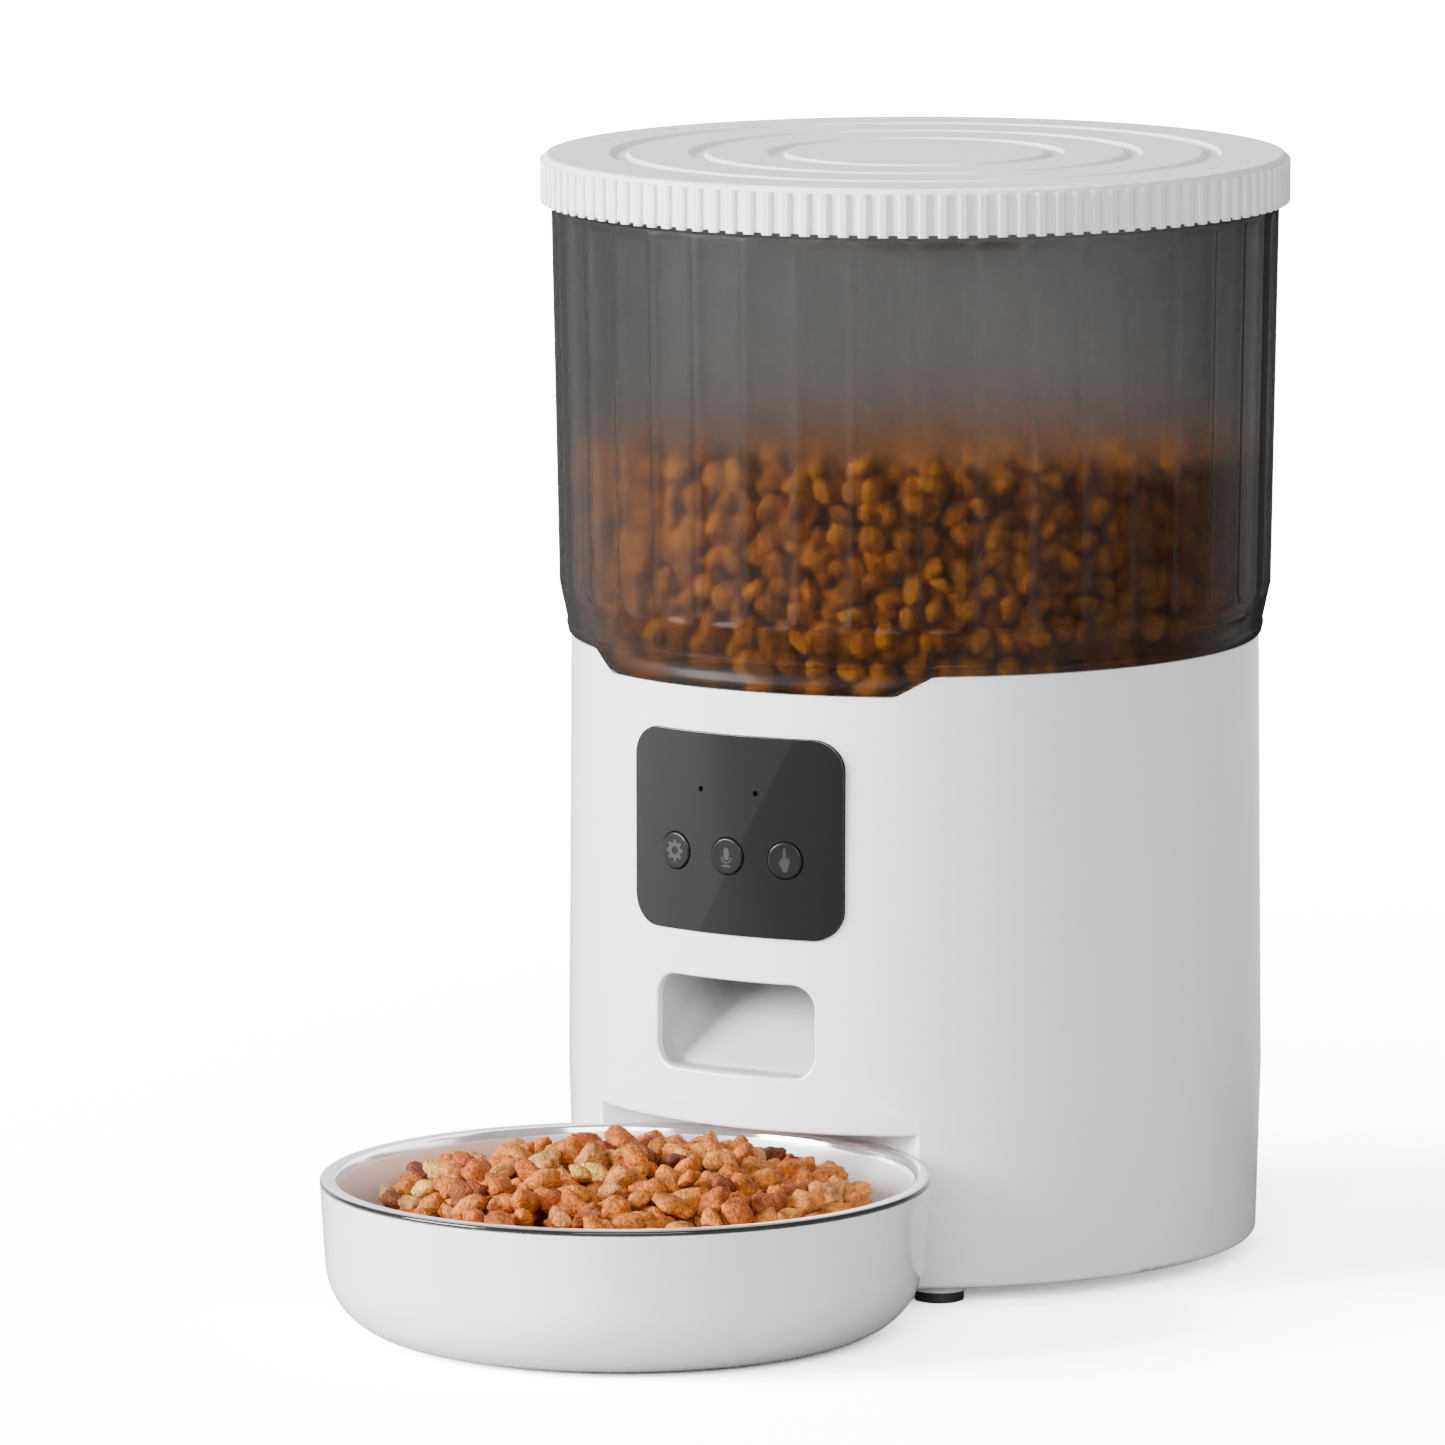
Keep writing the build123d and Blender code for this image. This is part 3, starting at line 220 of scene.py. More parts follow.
def moulded(
    name,
    color,
    roughness,
    coat=0.0,
    grain=0.02,
    grain_size=0.0009,
    spread=0.04,
    variation=0.03,
    specular=0.5,
):
    """Moulded plastic: a fine moulded grain and a slow drift of colour and gloss."""
    material, shader, link, node = new_material(name)
    place = node("ShaderNodeTexCoord").outputs["Object"]
    drift = noise_at(link, node, place, 14.0, 3.0)
    darker = [max(c * (1 - variation), 0) for c in color]
    lighter = [min(c * (1 + variation), 1) for c in color]
    link(between(link, node, drift, darker, lighter), shader.inputs["Base Color"])
    gloss = remap(link, node, drift, max(roughness - spread, 0.02), roughness + spread)
    link(gloss, shader.inputs["Roughness"])
    bump_from(link, node, shader, noise_at(link, node, place, 1 / grain_size, 2.0), grain, 0.0004)
    shader.inputs["Coat Weight"].default_value = coat
    shader.inputs["Coat Roughness"].default_value = 0.04
    shader.inputs["Specular IOR Level"].default_value = specular
    return material


def metal(name, color, roughness):
    """Metal with fine brushing across its height."""
    material, shader, link, node = new_material(name)
    shader.inputs["Base Color"].default_value = (*color, 1)
    shader.inputs["Metallic"].default_value = 1.0
    stretch = node("ShaderNodeMapping")
    stretch.inputs["Scale"].default_value = (1.0, 1.0, 0.08)
    link(node("ShaderNodeTexCoord").outputs["Object"], stretch.inputs["Vector"])
    streaks = noise_at(link, node, stretch.outputs["Vector"], 900.0, 3.0)
    link(remap(link, node, streaks, roughness - 0.06, roughness + 0.06), shader.inputs["Roughness"])
    bump_from(link, node, shader, streaks, 0.08, 0.0003)
    return material


def spun_steel(name, color, roughness, axis, polished_above, dark_reflection_radius):
    """Steel brushed in rings about an upright axis, polished above a height, with a painted dark reflection
    outside a radius.

    The axis, the height and the radius are in millimetres.
    """
    material, shader, link, node = new_material(name)
    shader.inputs["Metallic"].default_value = 0.82
    shader.inputs["Anisotropic"].default_value = 0.5
    shift = node("ShaderNodeMapping")
    shift.inputs["Location"].default_value = (-axis[0] * MM, -axis[1] * MM, 0)
    link(node("ShaderNodeTexCoord").outputs["Object"], shift.inputs["Vector"])
    apart = node("ShaderNodeSeparateXYZ")
    link(shift.outputs["Vector"], apart.inputs["Vector"])
    flat = node("ShaderNodeCombineXYZ")
    link(apart.outputs["X"], flat.inputs["X"])
    link(apart.outputs["Y"], flat.inputs["Y"])
    reach = node("ShaderNodeVectorMath", operation="LENGTH")
    link(flat.outputs["Vector"], reach.inputs[0])
    turn = node("ShaderNodeMath", operation="ARCTAN2")
    link(apart.outputs["Y"], turn.inputs[0])
    link(apart.outputs["X"], turn.inputs[1])
    slow = node("ShaderNodeMath", operation="MULTIPLY")
    slow.inputs[1].default_value = 0.0006
    link(turn.outputs["Value"], slow.inputs[0])
    rings = node("ShaderNodeCombineXYZ")
    link(reach.outputs["Value"], rings.inputs["X"])
    link(slow.outputs["Value"], rings.inputs["Y"])
    link(apart.outputs["Z"], rings.inputs["Z"])
    streaks = noise_at(link, node, rings.outputs["Vector"], 2600.0, 4.0)
    brushed = remap(link, node, streaks, roughness - 0.06, roughness + 0.06)
    polish = remap(
        link, node, apart.outputs["Z"], 1.0, 0.25, (polished_above - 0.3) * MM, polished_above * MM
    )
    gloss = node("ShaderNodeMath", operation="MULTIPLY")
    link(brushed, gloss.inputs[0])
    link(polish, gloss.inputs[1])
    link(gloss.outputs["Value"], shader.inputs["Roughness"])
    # painted reflection: the rolled rim's outside is painted near-black, as if it reflected something dark
    painted_dark_reflection = remap(link, node, reach.outputs["Value"], 0.0, 1.0, (dark_reflection_radius - 0.2) * MM, dark_reflection_radius * MM)
    dark = [c * 0.06 for c in color]
    link(between(link, node, painted_dark_reflection, color, dark), shader.inputs["Base Color"])
    bump_from(link, node, shader, streaks, 0.08, 0.0003)
    return material


def smoked_plastic(name, color, roughness):
    """Tinted clear plastic, hazy, with a glossy skin and a sooty look where the wall is seen edge on."""
    material, shader, link, node = new_material(name)
    place = node("ShaderNodeTexCoord").outputs["Object"]
    drift = noise_at(link, node, place, 18.0, 2.0)
    tint = between(link, node, drift, [c * 0.97 for c in color], [min(c * 1.03, 1) for c in color])
    slant = node("ShaderNodeLayerWeight", blend=0.5).outputs["Facing"]
    path_length = remap(link, node, slant, 1.0, 0.32, 0.03, 0.85)
    link(scaled(link, node, tint, path_length), shader.inputs["Base Color"])
    link(remap(link, node, drift, roughness * 0.9, roughness * 1.1), shader.inputs["Roughness"])
    shader.inputs["Transmission Weight"].default_value = 1.0
    shader.inputs["IOR"].default_value = 1.15
    shader.inputs["Coat Weight"].default_value = 0.06
    shader.inputs["Coat Roughness"].default_value = 0.07
    shader.inputs["Coat IOR"].default_value = 1.4
    soot = node("ShaderNodeBsdfDiffuse", color=(0.02, 0.019, 0.018, 1))
    edge_on = remap(link, node, slant, 0.0, 0.9, 0.58, 0.82, smooth=True)
    wall = choose(link, node, edge_on, shader.outputs["BSDF"], soot.outputs["BSDF"])
    let_lamps_through(link, node, material, wall, 0.6)
    return material


def clear_plastic(name, color, roughness):
    """Clear plastic with a slight haze; lamps shine through it."""
    material, shader, link, node = new_material(name)
    shader.inputs["Base Color"].default_value = (*color, 1)
    drift = noise_at(link, node, node("ShaderNodeTexCoord").outputs["Object"], 30.0, 2.0)
    link(remap(link, node, drift, roughness * 0.8, roughness * 1.2), shader.inputs["Roughness"])
    shader.inputs["Transmission Weight"].default_value = 1.0
    shader.inputs["IOR"].default_value = 1.15
    let_lamps_through(link, node, material, shader.outputs["BSDF"], 1.0)
    return material


PANEL_LOW, PANEL_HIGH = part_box("panel_window")
# where the panel's painted reflection ends: a slanted straight edge across the panel
PAINTED_REFLECTION_SLOPE = (0.88, 0.0, -0.475)
PAINTED_REFLECTION_EDGE = (
    PAINTED_REFLECTION_SLOPE[0] * (PANEL_LOW[0] + 0.58 * (PANEL_HIGH[0] - PANEL_LOW[0]))
    + PAINTED_REFLECTION_SLOPE[2] * (PANEL_LOW[2] + 0.5 * (PANEL_HIGH[2] - PANEL_LOW[2]))
)


def panel_with_painted_reflection(name, dark, light):
    """Black gloss plastic with a painted reflection: a faint diagonal sheen painted into its colour, split
    along one straight edge.
    """
    material, shader, link, node = new_material(name)
    place = node("ShaderNodeTexCoord").outputs["Object"]
    slope = node("ShaderNodeVectorMath", operation="DOT_PRODUCT")
    slope.inputs[1].default_value = PAINTED_REFLECTION_SLOPE
    link(place, slope.inputs[0])
    # painted reflection: the colour is the lighter one on one side of the edge
    edge = remap(link, node, slope.outputs["Value"], 0.0, 1.0, PAINTED_REFLECTION_EDGE - 0.0002, PAINTED_REFLECTION_EDGE + 0.0002)
    link(between(link, node, edge, light, dark), shader.inputs["Base Color"])
    swirl = noise_at(link, node, place, 300.0, 2.0)
    link(remap(link, node, swirl, 0.05, 0.11), shader.inputs["Roughness"])
    shader.inputs["Specular IOR Level"].default_value = 0.22
    return material


def kibble_material(name, stops, brightness):
    """Baked dry food: each piece has its own tone, with toasted blotches, pits, a dusty skin and painted
    shade in the pits.
    """
    material, shader, link, node = new_material(name)
    tone = node("ShaderNodeAttribute", attribute_name="tone")
    ramp = node("ShaderNodeValToRGB")
    first, last = ramp.color_ramp.elements
    for stop, (position, color) in ((first, stops[0]), (last, stops[-1])):
        stop.position = position
        stop.color = (*[c * brightness for c in color], 1)
    for position, color in stops[1:-1]:
        stop = ramp.color_ramp.elements.new(position)
        stop.color = (*[c * brightness for c in color], 1)
    link(tone.outputs["Fac"], ramp.inputs["Fac"])
    place = node("ShaderNodeTexCoord").outputs["Object"]
    toast = remap(link, node, noise_at(link, node, place, 260.0, 4.0), 0.45, 1.3, 0.3, 0.7)
    pits = noise_at(link, node, place, 1100.0, 5.0)
    # lighter on the raised bumps as dusty speckle, darker in the pits as painted shade
    speckle_and_pit_shade = remap(link, node, pits, 0.6, 1.4, 0.3, 0.7)
    toasted = scaled(link, node, ramp.outputs["Color"], toast)
    link(scaled(link, node, toasted, speckle_and_pit_shade), shader.inputs["Base Color"])
    bump_from(link, node, shader, pits, 0.9, 0.0014)
    link(remap(link, node, pits, 0.5, 0.8), shader.inputs["Roughness"])
    shader.inputs["Specular IOR Level"].default_value = 0.22
    return material


WHITE = (0.925, 0.928, 0.934)
SATIN_WHITE = (0.88, 0.883, 0.89)
LID_MARK_GREY = (0.6, 0.603, 0.61)
# a darker grey for the discharge chute: painted shade inside the outlet
CHUTE_PAINTED_SHADE = (0.52, 0.523, 0.53)
SMOKE = (0.29, 0.285, 0.28)
KEY_BLACK = (0.012, 0.012, 0.0125)
STEEL = (0.93, 0.93, 0.935)
SATIN = {"grain": 0.05, "variation": 0.01, "specular": 0.15}
LIP_Z = 39.6
# the radius beyond which the bowl's rim has a painted dark reflection
LIP_DARK_REFLECTION_R = 81.0
materials = {
    "white_gloss": moulded("white_gloss", WHITE, 0.12, coat=0.6, grain=0.012, spread=0.03, variation=0.006),
    "white_satin": moulded("white_satin", SATIN_WHITE, 0.5, **SATIN),
    "smoked_plastic": smoked_plastic("smoked_plastic", SMOKE, 0.5),
    "clear_plastic": clear_plastic("clear_plastic", (0.9, 0.89, 0.87), 0.25),
    "panel_black": panel_with_painted_reflection("panel_black", (0.012, 0.012, 0.0122), (0.016, 0.016, 0.0164)),
    "button_black": moulded("button_black", KEY_BLACK, 0.22, grain=0.03, variation=0.05, specular=0.2),
    "bowl_steel": spun_steel("bowl_steel", STEEL, 0.33, BOWL, LIP_Z, LIP_DARK_REFLECTION_R),
    "silicone_grey": moulded("silicone_grey", (0.35, 0.35, 0.36), 0.6, grain=0.1),
    "foot_rubber": moulded("foot_rubber", (0.02, 0.02, 0.021), 0.55, grain=0.15, variation=0.1),
    "internal_plastic": moulded("internal_plastic", (0.72, 0.73, 0.74), 0.42, grain=0.06),
    "gear_plastic": moulded("gear_plastic", (0.82, 0.8, 0.73), 0.35, grain=0.04),
    "rotor_plastic": moulded("rotor_plastic", (0.2, 0.36, 0.43), 0.4, grain=0.05),
    "steel": metal("steel", (0.66, 0.66, 0.67), 0.28),
    "motor_steel": metal("motor_steel", (0.52, 0.52, 0.53), 0.36),
    "bronze": metal("bronze", (0.62, 0.42, 0.2), 0.4),
    "board_green": moulded("board_green", (0.03, 0.19, 0.08), 0.3, grain=0.2, variation=0.15),
    "black_component": moulded("black_component", (0.03, 0.03, 0.032), 0.45, grain=0.12, variation=0.1),
    "cell_jacket": moulded("cell_jacket", (0.1, 0.11, 0.13), 0.25, grain=0.02, variation=0.1),
    "led_lens": moulded("led_lens", (0.6, 0.75, 0.85), 0.15, grain=0.01),
    "pouch_paper": moulded("pouch_paper", (0.85, 0.84, 0.8), 0.8, grain=0.5, grain_size=0.0005),
}
FOOD_TONES = [
    (0.0, (0.16, 0.04, 0.012)),
    (0.2, (0.42, 0.09, 0.012)),
    (0.45, (0.6, 0.15, 0.012)),
    (0.7, (0.62, 0.2, 0.028)),
    (0.85, (0.5, 0.25, 0.075)),
    (1.0, (0.8, 0.42, 0.06)),
]
# painted light: the hopper's food is the bowl's food, painted brighter and more saturated to make up for the
# light its smoked wall takes away
BRIGHTENED_HOPPER_TONES = [
    (0.0, (0.4, 0.1, 0.002)),
    (0.5, (0.72, 0.23, 0.006)),
    (1.0, (0.92, 0.35, 0.015)),
]
food_in_bowl = kibble_material("food_in_bowl", FOOD_TONES, 0.92)
food_in_hopper_painted_brighter = kibble_material("food_in_hopper_painted_brighter", BRIGHTENED_HOPPER_TONES, 1.0)
icon_ink = moulded("icon_ink", (0.003, 0.003, 0.003), 0.6, grain=0.02)
lid_mark_grey = moulded("lid_mark_grey", LID_MARK_GREY, 0.5, **SATIN)
chute_painted_shade = moulded("chute_painted_shade", CHUTE_PAINTED_SHADE, 0.5, **SATIN)

for part in frame["record"]["subparts"]:
    shown = nodes[part["node"]]
    finish = materials[part["material_slot"]]
    # painted shade: the discharge chute is a darker grey than its white slot, for the shade inside the
    # outlet
    if part["node"] == "discharge_chute":
        finish = chute_painted_shade
    for slot in shown.material_slots:
        slot.material = finish
    if not shown.material_slots:
        shown.data.materials.append(finish)


# ---------------------------------------------------------------- smoked hopper
FLUTES = 40
FLUTE_PITCH = 360 / FLUTES
FLUTE_COLUMNS = (-4.5, -4.0, -3.6, -3.1, -2.0, 0.0, 2.0, 3.1, 3.6, 4.0)
FLUTE_DEPTHS = (0.0, 0.0, 0.25, 0.7, 0.85, 0.9, 0.85, 0.7, 0.25, 0.0)
FLUTE_HALF = 3.6
FLUTE_FOOT = 183.0
TANK_SEAT = 171.5
TANK_SEAT_R = 94.6
TANK_SHOULDER = 185.3
TANK_SHOULDER_R = 97.6
TANK_LIP = 289.0
TANK_LIP_R = 99.5
TANK_WALL = 2.2
NECK_OUT_R = 97.4
NECK_IN_R = 95.0
NECK_TOP = 299.2
FOOT_IN_R = 92.4
TAB_EDGE = 166.0
TAB_FOOT_X = 44.8
TAB_TOP_X = 53.4
BEAD = 2.7
OUTSIDE_HEIGHTS = (
    (173.0, 173.4, 173.9, 174.4, 175.4, 177.0, 179.2, 179.5, 181.4, 181.7, 182.6, 183.2)
    + (183.8, 184.4, 185.0, 185.6, 186.4, 187.4, 189.0, 192.0, 200.0, 215.0, 232.0, 250.0)
    + (268.0, 280.0, 286.0, 287.5, 288.6)
)
INSIDE_HEIGHTS = (288.0, 284.0, 270.0, 240.0, 210.0, 190.0, 186.0, 184.4, 180.0, 175.0)


def tank_radius(height):
    """The hopper's outside radius before flutes and beads: two cones with a soft shoulder between."""
    if height < TANK_SEAT:
        return TANK_SEAT_R
    up_foot = (height - TANK_SEAT) / (TANK_SHOULDER - TANK_SEAT)
    up_wall = (height - TANK_SHOULDER) / (TANK_LIP - TANK_SHOULDER)
    lower = TANK_SEAT_R + (TANK_SHOULDER_R - TANK_SEAT_R) * up_foot
    upper = TANK_SHOULDER_R + (TANK_LIP_R - TANK_SHOULDER_R) * up_wall
    return lower + (upper - lower) * smoothstep(183.6, 187.0, height)


def tab_height(azimuth):
    """The height of the hopper's lower edge, which drops into a tab at the front.

    The slope at each end of the tab is averaged over a short width, which rounds its corners.
    """
    if abs(azimuth) > 60:
        return TANK_SEAT
    total = 0.0
    for step in range(-6, 7):
        x = abs(94.4 * math.sin(math.radians(azimuth))) + step * 0.3
        slope = (x - TAB_FOOT_X) / (TAB_TOP_X - TAB_FOOT_X)
        total += TAB_EDGE + (TANK_SEAT - TAB_EDGE) * min(max(slope, 0.0), 1.0)
    return total / 13


def tank_loop(azimuth, flute_angle, flute_depth):
    """The closed wall section at one azimuth: up the outside, round the neck and down the inside."""
    edge = tab_height(azimuth)
    heights = [edge + 0.5, edge + BEAD - 0.6, edge + BEAD, edge + BEAD + 0.5]
    for height in OUTSIDE_HEIGHTS:
        heights.append(max(height, heights[-1] + 0.05))
    flute_corner = FLUTE_FOOT + 3.2 * (abs(flute_angle) / FLUTE_HALF) ** 5
    loop = [(tank_radius(edge) - 0.35, edge)]
    for height in heights:
        radius = tank_radius(height)
        if height <= edge + BEAD:
            radius += 0.45
        if abs(azimuth) < 34:
            radius += 0.3 * math.exp(-(((height - 173.9) / 0.5) ** 2))
        if abs(abs(azimuth) - 90) < 10 and 179.4 < height < 181.6:
            radius += 0.6
        in_flute = smoothstep(flute_corner, flute_corner + 1.6, height) * smoothstep(TANK_LIP, 287, height)
        loop.append((radius - flute_depth * in_flute, height))
    loop.append((99.2, TANK_LIP))
    loop.append((NECK_OUT_R, TANK_LIP + 0.1))
    loop.append((NECK_OUT_R, NECK_TOP - 0.4))
    loop.append((NECK_OUT_R - 0.4, NECK_TOP))
    loop.append((NECK_IN_R + 0.4, NECK_TOP))
    loop.append((NECK_IN_R, NECK_TOP - 0.4))
    for height in INSIDE_HEIGHTS:
        loop.append((tank_radius(height) - TANK_WALL, height))
    loop.append((FOOT_IN_R, max(edge + 2.0, 172.0)))
    loop.append((FOOT_IN_R, edge))
    return loop


tank_azimuths = []
tank_loops = []
for flute in range(FLUTES):
    for angle, depth in zip(FLUTE_COLUMNS, FLUTE_DEPTHS):
        azimuth = flute * FLUTE_PITCH + angle
        signed = (azimuth + 180) % 360 - 180
        tank_azimuths.append(azimuth)
        tank_loops.append(tank_loop(signed, angle, depth))
tank_points, tank_faces = around(tank_azimuths, tank_loops)

LUGS = 4
LUG_COLUMNS = 15
LUG_SECTION = [(97.0, 295.6), (99.4, 295.6), (99.4, 297.6), (97.0, 297.6)]
corners = len(LUG_SECTION)
lug_points = []
lug_faces = []
for lug in range(LUGS):
    start = len(tank_points) + len(lug_points)
    middle_azimuth = 90 + 360 / LUGS * lug
    lug_azimuths = [middle_azimuth + 2 * k - (LUG_COLUMNS - 1) for k in range(LUG_COLUMNS)]
    points, faces = around(lug_azimuths, [LUG_SECTION] * LUG_COLUMNS)
    lug_points += points
    lug_faces += [tuple(start + i for i in face) for face in faces[:-corners]]
    lug_faces.append(tuple(start + i for i in range(corners)))
    lug_faces.append(tuple(start + corners * (LUG_COLUMNS - 1) + i for i in range(corners)))
hopper = make_object("hopper_tank_smoked", tank_points + lug_points, tank_faces + lug_faces, BODY)
hopper.data.materials.append(materials["smoked_plastic"])
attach(hopper, "hopper")
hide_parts("hopper_tank")


# ---------------------------------------------------------------- spun steel bowl
bowl_profile = rounded(
    [
        (0.6, 6.8),
        (57.0, 6.8),
        (72.6, 9.0),
        (76.6, 39.5),
        (77.2, 41.9),
        (80.6, 42.0),
        (81.3, 41.2),
        (81.2, 40.6),
        (78.2, 40.6),
        (77.3, 39.0),
        (73.5, 8.6),
        (57.0, 6.0),
        (0.6, 6.0),
    ],
    9.0,
    8,
)
BOWL_COLUMNS = 240
bowl_azimuths = [360 / BOWL_COLUMNS * k for k in range(BOWL_COLUMNS)]
steel_points, steel_faces = around(bowl_azimuths, [bowl_profile] * BOWL_COLUMNS)
steel = make_object("steel_bowl_spun", steel_points, steel_faces, BOWL)
steel.data.materials.append(materials["bowl_steel"])
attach(steel, "dish")
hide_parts("steel_bowl")


# ---------------------------------------------------------------- dry food
chance = random.Random(640)


def nugget_shape(seed, subdivisions):
    """One lumpy piece about the origin, with a half-length near 1: its points and its faces.

    It is a pebble, a bent bean or a disc of three or four lobes.
    """
    ball = bmesh.new()
    bmesh.ops.create_icosphere(ball, subdivisions=subdivisions, radius=1.0)
    own = random.Random(seed)
    lobes = (0, 0, 3, 0, 4, 3)[seed % 6]
    bean = seed % 6 in (1, 3)
    length = own.uniform(1.05, 1.25) if bean else 1.0
    width = own.uniform(0.55, 0.68) if bean else own.uniform(0.8, 0.98)
    squash = Vector((length, width, own.uniform(0.48, 0.66)))
    bend = own.uniform(0.15, 0.4) if bean else 0.0
    offset = Vector((own.uniform(0, 50), own.uniform(0, 50), own.uniform(0, 50)))
    for vertex in ball.verts:
        way = vertex.co.copy()
        lump = 1 + 0.24 * noise.noise(way * 1.4 + offset)
        lump += 0.13 * noise.noise(way * 3.3 + offset) + 0.05 * noise.noise(way * 8.0 + offset)
        if lobes:
            lump *= 1 + 0.2 * math.cos(lobes * math.atan2(way.y, way.x)) * (1 - way.z * way.z)
        moved = way * lump
        moved.y += bend * way.x * way.x
        vertex.co = Vector((moved.x * squash.x, moved.y * squash.y, moved.z * squash.z))
    ball.verts.index_update()
    points = [vertex.co.copy() for vertex in ball.verts]
    faces = [tuple(vertex.index for vertex in face.verts) for face in ball.faces]
    ball.free()
    return points, faces


def food_object(name, places, shapes, material, centre):
    """Many nuggets in one mesh. Each place is (point, turn, half-length)."""
    points = []
    faces = []
    tones = []
    for spot, turn, size in places:
        shape_points, shape_faces = chance.choice(shapes)
        start = len(points)
        spin = turn.to_matrix()
        tone = min(max(chance.gauss(0.5, 0.25), 0), 1)
        for point in shape_points:
            where = spin @ (point * size)
            points.append((where.x + spot[0], where.y + spot[1], where.z + spot[2]))
            tones.append(tone)
        faces += [tuple(start + i for i in face) for face in shape_faces]
    made = make_object(name, points, faces, centre)
    layer = made.data.attributes.new("tone", "FLOAT", "POINT")
    layer.data.foreach_set("value", tones)
    made.data.materials.append(material)
    return made


def scattered(radius, spacing, tries):
    """Plan points inside a circle, none nearer to another than the spacing."""
    kept = []
    for _ in range(tries):
        reach = radius * math.sqrt(chance.random())
        turn = chance.uniform(0, 2 * math.pi)
        spot = (reach * math.cos(turn), reach * math.sin(turn))
        if all((spot[0] - a) ** 2 + (spot[1] - b) ** 2 > spacing**2 for a, b in kept):
            kept.append(spot)
    return kept


def loose_turn(tilt):
    """A random turn: any heading, with a tilt of up to so many degrees."""
    lean = math.radians(tilt)
    return Euler((chance.uniform(-lean, lean), chance.uniform(-lean, lean), chance.uniform(0, 6.28)))


bowl_shapes = [nugget_shape(seed, 3) for seed in range(24)]
plain_shapes = [nugget_shape(6 * seed, 2) for seed in range(12)]


HEAP_EDGE = 34.5
HEAP_RISE = 12.5
HEAP_R = 65.0
BOWL_LAYERS = ((0.0, 7.2, 64.0), (4.0, 7.0, 65.5), (8.5, 7.4, 66.0))


def heap_height(reach):
    """The top of the food in the bowl at a distance from its middle."""
    return HEAP_EDGE + HEAP_RISE * (1 - (reach / HEAP_R) ** 2.0)


# each layer is its depth under the heap's top, the spacing of its pieces and its radius
bowl_places = []
for depth, spacing, room in BOWL_LAYERS:
    for x, y in scattered(room, spacing, 5000):
        height = heap_height(math.hypot(x, y)) - depth + chance.uniform(-1.8, 1.8)
        bowl_places.append(((x, y, height), loose_turn(50), chance.uniform(3.4, 5.2)))
bowl_food = food_object("food_in_the_bowl", bowl_places, bowl_shapes, food_in_bowl, BOWL)
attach(bowl_food, "dish")

# the level way from the camera towards the object
AWAY = (-0.54, 0.8415, 0.0)
FILL = 226.0
LAYER_STEP = 6.9
WALL_LAYERS = ((86.2, 171.5), (89.8, 180.5), (82.0, 178.0))
PIECE_PITCH = 7.9
CONE_TOP_R = 90.0
CONE_TOP = 165.4
CONE_SLOPE = 0.243
CONE_CLEARANCE = 3.6
THROAT_REACH = 57
hopper_places = []


def fill_height(x, y):
    """The top of the food in the hopper: it has sunk in the middle and towards the back."""
    sunk = smoothstep(95.0, 30.0, math.hypot(x, y))
    back = smoothstep(-40.0, 80.0, AWAY[0] * x + AWAY[1] * y)
    return FILL - 5.0 * sunk - 9.0 * back


# rings of pieces against the wall, then the top of the fill, then pieces on the funnel's cone
for layer_radius, low in WALL_LAYERS:
    height = low
    while height < FILL:
        count = int(2 * math.pi * layer_radius / PIECE_PITCH)
        start = chance.uniform(0, 6.28)
        for k in range(count):
            turn = start + 2 * math.pi * k / count + chance.uniform(-0.03, 0.03)
            reach = layer_radius + chance.uniform(-1.0, 0.8)
            x, y = reach * math.cos(turn), reach * math.sin(turn)
            spot = (x, y, height + chance.uniform(-2.2, 2.2))
            if spot[2] < fill_height(x, y):
                hopper_places.append((spot, loose_turn(180), chance.uniform(3.8, 5.0)))
        height += LAYER_STEP
for x, y in scattered(88.0, 8.2, 6000):
    height = fill_height(x, y) + chance.uniform(-2, 2)
    hopper_places.append(((x, y, height), loose_turn(60), chance.uniform(4.0, 5.2)))
for x, y in scattered(86.0, 8.4, 6000):
    reach = math.hypot(x, y)
    if reach > THROAT_REACH:
        on_funnel = CONE_TOP - (CONE_TOP_R - reach) * CONE_SLOPE + CONE_CLEARANCE
        hopper_places.append(((x, y, on_funnel), loose_turn(30), chance.uniform(3.8, 4.6)))
hopper_food = food_object("food_in_the_hopper", hopper_places, plain_shapes, food_in_hopper_painted_brighter, BODY)
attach(hopper_food, "hopper")


# ---------------------------------------------------------------- icons on the buttons and the lid
def arc(centre_x, centre_y, radius, start, end, steps):
    """Points along an arc, with its angles in degrees."""
    points = []
    for step in range(steps + 1):
        turn = math.radians(start + (end - start) * step / steps)
        points.append((centre_x + radius * math.cos(turn), centre_y + radius * math.sin(turn)))
    return points


def band(centre_x, centre_y, inner, outer, start, end, steps=16):
    """The outline of part of a ring."""
    return arc(centre_x, centre_y, outer, start, end, steps) + arc(
        centre_x, centre_y, inner, end, start, steps
    )


def bar(left, bottom, right, top):
    """The outline of a rectangle."""
    return [(left, bottom), (right, bottom), (right, top), (left, top)]


def gear_icon():
    """A cog: eight teeth, each with its share of the ring round an open middle."""
    outlines = []
    for tooth in range(8):
        middle_angle = tooth * 45
        outlines.append(band(0, 0, 1.15, 2.25, middle_angle - 22.5, middle_angle + 22.5, 4))
        outlines.append(
            arc(0, 0, 3.0, middle_angle - 9, middle_angle + 9, 2)
            + arc(0, 0, 2.2, middle_angle + 13, middle_angle - 13, 2)
        )
    return outlines


def microphone_icon():
    """A microphone in its cradle, on a stem and a foot."""
    capsule = arc(0, 1.5, 0.85, 0, 180, 10) + arc(0, -0.2, 0.85, 180, 360, 10)
    cradle = band(0, -0.2, 1.35, 1.75, 180, 360)
    return [capsule, cradle, bar(-0.2, -2.5, 0.2, -1.9), bar(-1.4, -2.9, 1.4, -2.45)]


